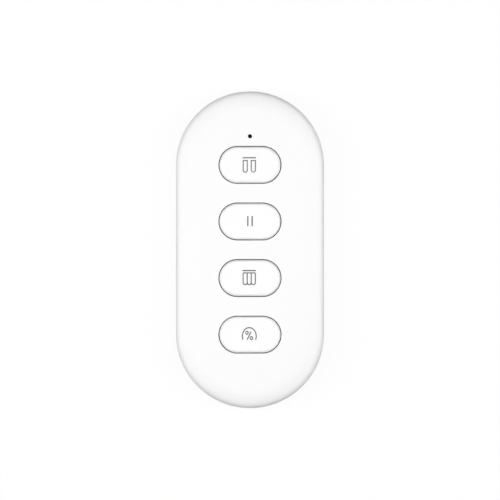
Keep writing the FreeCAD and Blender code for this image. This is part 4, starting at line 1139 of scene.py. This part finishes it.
def hanging(left: float, right: float, top: float, bottom: float,
            corner: float = 0.0) -> tuple[Point, ...]:
    """Line of one curtain panel with a round lower end.

    Args:
        left: Its left side.
        right: Its right side.
        top: Its top.
        bottom: Its lowest point.
        corner: Radius of its upper corners; 0 leaves them square.

    Returns:
        The points, from the upper left to the upper right.
    """
    radius = (right - left) / 2
    low = arc(((left + right) / 2, bottom + radius), radius, 180, 360, 12)
    if not corner:
        return ((left, top), *low, (right, top))
    return (*arc((left + corner, top - corner), corner, 90, 180, 4), *low,
            *arc((right - corner, top - corner), corner, 0, 90, 4))


def ellipse(x: float, y: float, across: float, along: float, start: float = 0.0,
            stop: float = 345.0, steps: int = 23) -> tuple[Point, ...]:
    """Points of an ellipse about x and y, or of a part of one between two angles."""
    return tuple((x + across * px, y + along * py)
                 for px, py in arc((0, 0), 1.0, start, stop, steps))


class Symbol(Enum):
    """The four printed symbols, as lines about the key's centre."""

    OPEN = (
        Stroke(((-2.5, 2.33), (1.94, 2.33)), 0.385),
        Stroke(hanging(-2.24, -0.9, 1.41, -2.44), 0.34, True),
        Stroke(hanging(0.41, 1.78, 1.41, -2.38), 0.34, True))
    PAUSE = (
        Stroke(((-0.72, 1.78), (-0.72, -1.57)), 0.42),
        Stroke(((0.71, 1.78), (0.71, -1.57)), 0.42))
    CLOSE = (
        Stroke(((-2.5, 2.47), (1.94, 2.47))),
        Stroke(hanging(-2.27, -0.92, 1.71, -2.18, 0.25), 0.36, True),
        Stroke(hanging(-0.92, 0.4, 1.71, -2.18, 0.25), 0.36, True),
        Stroke(hanging(0.4, 1.76, 1.71, -2.18, 0.25), 0.36, True))
    PERCENT = (
        Stroke(ellipse(-0.235, -0.49, 2.295, 2.8, -25, 205, 28), 0.37),
        Stroke(((0.35, 1.0), (-0.92, -1.62)), 0.38),
        Stroke(ellipse(-0.99, 0.62, 0.4, 0.48), 0.34, True),
        Stroke(ellipse(0.48, -1.14, 0.39, 0.5), 0.34, True))


@dataclass
class Key:
    """One rigid key with its flange, hollow back, post and printed symbol."""

    name: str
    symbol: Symbol
    radius: float = 5.97
    run: float = 4.15
    flange_radius: float = 6.8
    flange_low: float = 10.35
    flange_high: float = 11.15
    edge: float = 0.9
    bevel: float = 0.1
    wall: float = 1.2
    hollow_top: float = 11.95
    post_half: float = 2.2
    post_corner: float = 0.4
    post_low: float = 9.3
    rib_half: float = 0.4
    rib_corner: float = 0.1
    sunk: float = 0.2
    support: float = 0.1
    film: float = 0.015
    film_rise: float = 0.012
    film_step: float = 0.00075

    def __post_init__(self) -> None:
        """Read the key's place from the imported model."""
        low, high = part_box(f"{self.name}_key_cap")
        self.y = (low.y + high.y) / 2 / MM
        self.top = high.z / MM - self.film

    def build(self) -> None:
        """Make the cap and its symbol, whose lines lie at slightly different heights."""
        body = f"{self.name}_key"
        settle(self.make_cap(), body, f"{self.name}_key_cap")
        symbol = Solid()
        for number, stroke in enumerate(self.symbol.value):
            stroke.add_to(symbol, self.y, self.top - self.film,
                          self.top + self.film_rise + number * self.film_step)
        settle(symbol.piece(f"{self.name}_symbol", Finish.SYMBOL_INK), body)

    def make_cap(self) -> bpy.types.Object:
        """Make the cap.

        Returns:
            The cap.
        """
        flange = self.radius - self.flange_radius
        low, high = self.flange_low, self.flange_high
        cap = Solid().form(Stadium(self.radius, self.run, False, 0.0, self.y, 56), [
            (self.wall, self.hollow_top), (self.wall, low), (flange + self.bevel, low),
            (flange, low + self.bevel), (flange, high - self.bevel),
            (flange + self.bevel, high), (0.0, high),
            *arc((self.edge, self.top - self.edge), self.edge, 180, 90, 9),
            (self.edge + self.support, self.top)])
        reach = self.radius - self.wall / 2
        roof = self.hollow_top + self.sunk
        for half_x, half_y in ((self.run + reach, self.rib_half), (self.rib_half, reach)):
            cap.slab(Tablet(half_x, half_y, self.rib_corner, y=self.y), low, roof)
        cap.slab(Tablet(self.post_half, self.post_half, self.post_corner, y=self.y),
                 self.post_low, roof, self.bevel)
        return cap.piece(f"{self.name}_cap", Finish.KEY_COAT)


@dataclass
class IndicatorWindow:
    """Smoked window in the indicator hole, on a round foot above the lamp."""

    foot: float = 1.2
    tip: float = 0.645
    shoulder: float = 11.15
    ease: float = 0.1
    dome: float = 0.07
    dome_flank: float = 0.08
    dome_reach: float = 0.25

    def build(self) -> None:
        """Make the window."""
        low, high = (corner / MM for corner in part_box("light_pipe"))
        waist = self.foot - self.tip
        window = Solid().form(Stadium(self.foot, y=(low.y + high.y) / 2, steps=24), [
            (self.ease, low.z), (0.0, low.z + self.ease), (0.0, self.shoulder - self.ease),
            (self.ease, self.shoulder), (waist, self.shoulder), (waist, high.z - self.dome),
            (waist + self.dome_flank, high.z - self.dome / 2),
            (waist + self.dome_reach, high.z)])
        settle(window.piece("indicator_window", Finish.PIPE_PLASTIC), "case",
               "light_pipe")


# --- the screws and the cell behind the door ---


def cross(x: float, y: float, reach: float, half: float, taper: float = 0.85) -> Corners:
    """Outline of a cross about x and y, from its arms' reach, half width and taper."""
    quarter = ((reach, half * taper), (half, half), (half * taper, reach))
    return Corners(tuple((x + side * px, y + ahead * py)
                         for side, ahead in ((1, 1), (-1, 1), (-1, -1), (1, -1))
                         for px, py in (quarter if side == ahead else quarter[::-1])))


@dataclass
class CaseScrews:
    """Two pan head screws with cross recesses and rolled threads."""

    form: CaseForm
    head: float = 2.0
    head_height: float = 1.2
    dome: Point = (0.9, 0.5)
    ease: float = 0.08
    thread: float = 0.97
    core: float = 0.78
    tip: float = 0.63
    pitch: float = 0.8
    turn: tuple[float, ...] = (0.4, 0.85, 1.3)
    recess: Point = (1.15, 0.28)
    recess_depth: float = 0.65
    support: float = 0.1

    def build(self) -> None:
        """Make the screws."""
        screws = joined("deck_screws", self.make_screw(1), self.make_screw(-1))
        settle(screws, "case", "case_screws")

    def make_screw(self, side: int) -> bpy.types.Object:
        """Make one screw, head down.

        Args:
            side: 1 for the right one, -1 for the left one.

        Returns:
            The screw.
        """
        low, high = (corner.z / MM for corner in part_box("case_screws"))
        seat = low + self.head_height
        thread, core = self.head - self.thread, self.head - self.core
        reach, rise = self.dome
        profile = [(reach + self.support, low)]
        profile += [(reach * (1 - px), low + rise * (1 - py))
                    for px, py in arc((0, 0), 1.0, 90, 0, 7)]
        profile += [(0.0, seat - self.ease), (self.ease, seat), (core, seat)]
        for number in range(int((high - seat) / self.pitch - 0.5)):
            profile += [(inset, seat + self.pitch * (number + part))
                        for inset, part in zip((core, thread, core), self.turn)]
        profile += [(self.head - self.tip, high)]
        head = self.form.boss(side, self.head, 18)
        screw = Solid().form(head, profile).piece("screw", Finish.SCREW_STEEL)
        carve(screw, Solid().slab(cross(head.x, head.y, *self.recess), low - PAST,
                                  low + self.recess_depth))
        return screw


@dataclass
class CoinCell:
    """Coin cell: crimped can with a stamped plus sign, and the raised cap in it."""

    edge: float = 0.45
    crimp: float = 0.3
    crimp_end: float = 0.85
    ease: float = 0.1
    support: float = 0.15
    seal_low: float = 0.25
    cap_edge: float = 0.4
    plus: Point = (1.9, 0.28)
    plus_y: float = 4.6
    stamp: float = 0.12

    def build(self) -> None:
        """Make the can and the cap."""
        can_low, can_high = (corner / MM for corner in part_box("coin_cell_can"))
        cap_low, cap_high = (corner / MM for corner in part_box("coin_cell_cap"))
        middle = (can_low.y + can_high.y) / 2
        inset = can_high.x - cap_high.x
        groove = can_high.z - self.seal_low
        shell = Solid().form(Stadium(can_high.x, y=middle, steps=60), [
            (self.edge + self.support, can_low.z),
            *arc((self.edge, can_low.z + self.edge), self.edge, 270, 180, 6),
            *arc((self.crimp, can_high.z - self.crimp), self.crimp, 180, 90, 5),
            (self.crimp_end, can_high.z),
            (self.crimp_end + self.ease, can_high.z - self.ease),
            (self.crimp_end + self.ease, groove), (inset, groove),
            (inset, cap_low.z)]).piece("cell_can", Finish.CELL_STEEL)
        carve(shell, Solid().slab(cross(0.0, middle + self.plus_y, *self.plus),
                                  can_low.z - PAST, can_low.z + self.stamp))
        settle(shell, "case", "coin_cell_can")
        lid = Solid().slab(Stadium(cap_high.x, y=middle, steps=60), cap_low.z, cap_high.z,
                           self.cap_edge)
        settle(lid.piece("cell_cap", Finish.CELL_STEEL), "case",
               "coin_cell_cap")


# --- the studio ---


@dataclass
class Lamp:
    """A rectangular soft light that points at the part."""

    name: str
    place: Place
    width: float
    height: float
    power: float

    def build(self, target: Vector) -> None:
        """Make the lamp.

        Args:
            target: Point that it faces, in metres.
        """
        data = bpy.data.lights.new(self.name, "AREA")
        data.shape = "RECTANGLE"
        data.size = self.width
        data.size_y = self.height
        data.energy = self.power
        lamp = bpy.data.objects.new(self.name, data)
        lamp.location = self.place
        lamp.rotation_mode = "QUATERNION"
        lamp.rotation_quaternion = (target - lamp.location).to_track_quat("-Z", "Y")
        bpy.context.scene.collection.objects.link(lamp)


@dataclass
class Studio:
    """Camera straight above the face, soft lights and a white floor."""

    lens: float = 215.0
    sensor: float = 36.0
    camera_height: float = 999.5
    camera_y: float = -0.083
    floor_half: float = 1.5
    floor_gap: float = 0.02
    floor_glow: float = 0.92
    white: Colour = (1.0, 1.0, 1.0)
    paper: Colour = (0.97, 0.97, 0.97)
    paper_fibre: Colour = (0.95, 0.95, 0.95)
    paper_unseen: Colour = (0.4, 0.4, 0.4)
    world: float = 0.15
    lamps: tuple[Lamp, ...] = (
        Lamp("top_light", (0.0, 0.0, 0.7), 1.2, 0.28, 3.98),
        Lamp("left_light", (-0.55, 0.0, 0.48), 0.3, 0.4, 1.52),
        Lamp("right_light", (0.55, 0.0, 0.48), 0.3, 0.4, 1.18))

    def build(self) -> None:
        """Make the camera, the lights, the world and the floor."""
        low, high = CAD_BOX
        for lamp in self.lamps:
            lamp.build((low + high) / 2)
        self.make_camera()
        self.make_world()
        self.make_floor()
        bpy.context.scene.view_settings.view_transform = "Standard"

    def make_camera(self) -> None:
        """Make the camera, which looks straight down with +Y up."""
        data = bpy.data.cameras.new("camera")
        data.lens = self.lens
        data.sensor_width = self.sensor
        camera = bpy.data.objects.new("camera", data)
        camera.location = (0.0, self.camera_y * MM, self.camera_height * MM)
        bpy.context.scene.collection.objects.link(camera)
        bpy.context.scene.camera = camera

    def make_world(self) -> None:
        """Make the world: white where it is seen, and dimmer as a light."""
        world = bpy.data.worlds.new("studio")
        nodes = Nodes(world)
        dim, bright = (nodes.node("ShaderNodeBackground", None, {
            "Color": self.white, "Strength": strength}).outputs[0]
            for strength in (self.world, 1.0))
        both = nodes.node("ShaderNodeMixShader", None,
                          {0: nodes.seen_directly(), 1: dim, 2: bright})
        nodes.node("ShaderNodeOutputWorld", None, {"Surface": both.outputs[0]})
        bpy.context.scene.world = world

    def make_floor(self) -> None:
        """Make the floor, white where it is seen, with the part's soft shadow."""
        shader = Shader("floor_white")
        seen = shader.seen_directly()
        paper = shader.mix(shader.noise(6.0, 3.0), self.paper, self.paper_fibre)
        shader.finish(Base_Color=shader.mix(seen, self.paper_unseen, paper),
                      Roughness=0.9, Specular_IOR_Level=0.1)
        glow = shader.node("ShaderNodeEmission", None, {"Color": self.white})
        mix = shader.node("ShaderNodeMixShader", None, {
            0: seen * self.floor_glow, 1: shader.surface.outputs[0], 2: glow.outputs[0]})
        shader.feed(shader.output.inputs["Surface"], mix.outputs[0])
        reach, level = self.floor_half, -self.floor_gap * MM
        mesh = bpy.data.meshes.new("floor")
        mesh.from_pydata([(x * reach, y * reach, level) for x, y in
                          ((-1, -1), (1, -1), (1, 1), (-1, 1))], [], [(0, 1, 2, 3)])
        mesh.materials.append(shader.material)
        floor = bpy.data.objects.new("floor", mesh)
        bpy.context.scene.collection.objects.link(floor)


# --- the whole part ---


def dress_nodes() -> None:
    """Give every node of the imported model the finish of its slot."""
    for row in frame["record"]["subparts"]:
        node = frame["nodes"][row["node"]]
        finish = Finish[row["material_slot"].upper()].material()
        if not node.material_slots:
            node.data.materials.append(finish)
        for slot in node.material_slots:
            slot.material = finish
        LOG.info("%s: %s", node.name, finish.name)


def main() -> None:
    """Build the part and its studio in order."""
    logging.basicConfig(level=logging.INFO, format="%(message)s")
    dress_nodes()
    form = CaseForm()
    keys = [Key(symbol.name.lower(), symbol) for symbol in Symbol]
    FrontShell(form).build([key.y for key in keys])
    RearShell(form).build()
    BatteryDoor(form).build()
    for key in keys:
        key.build()
    IndicatorWindow().build()
    CaseScrews(form).build()
    CoinCell().build()
    Studio().build()


if __name__ == "__main__":
    main()
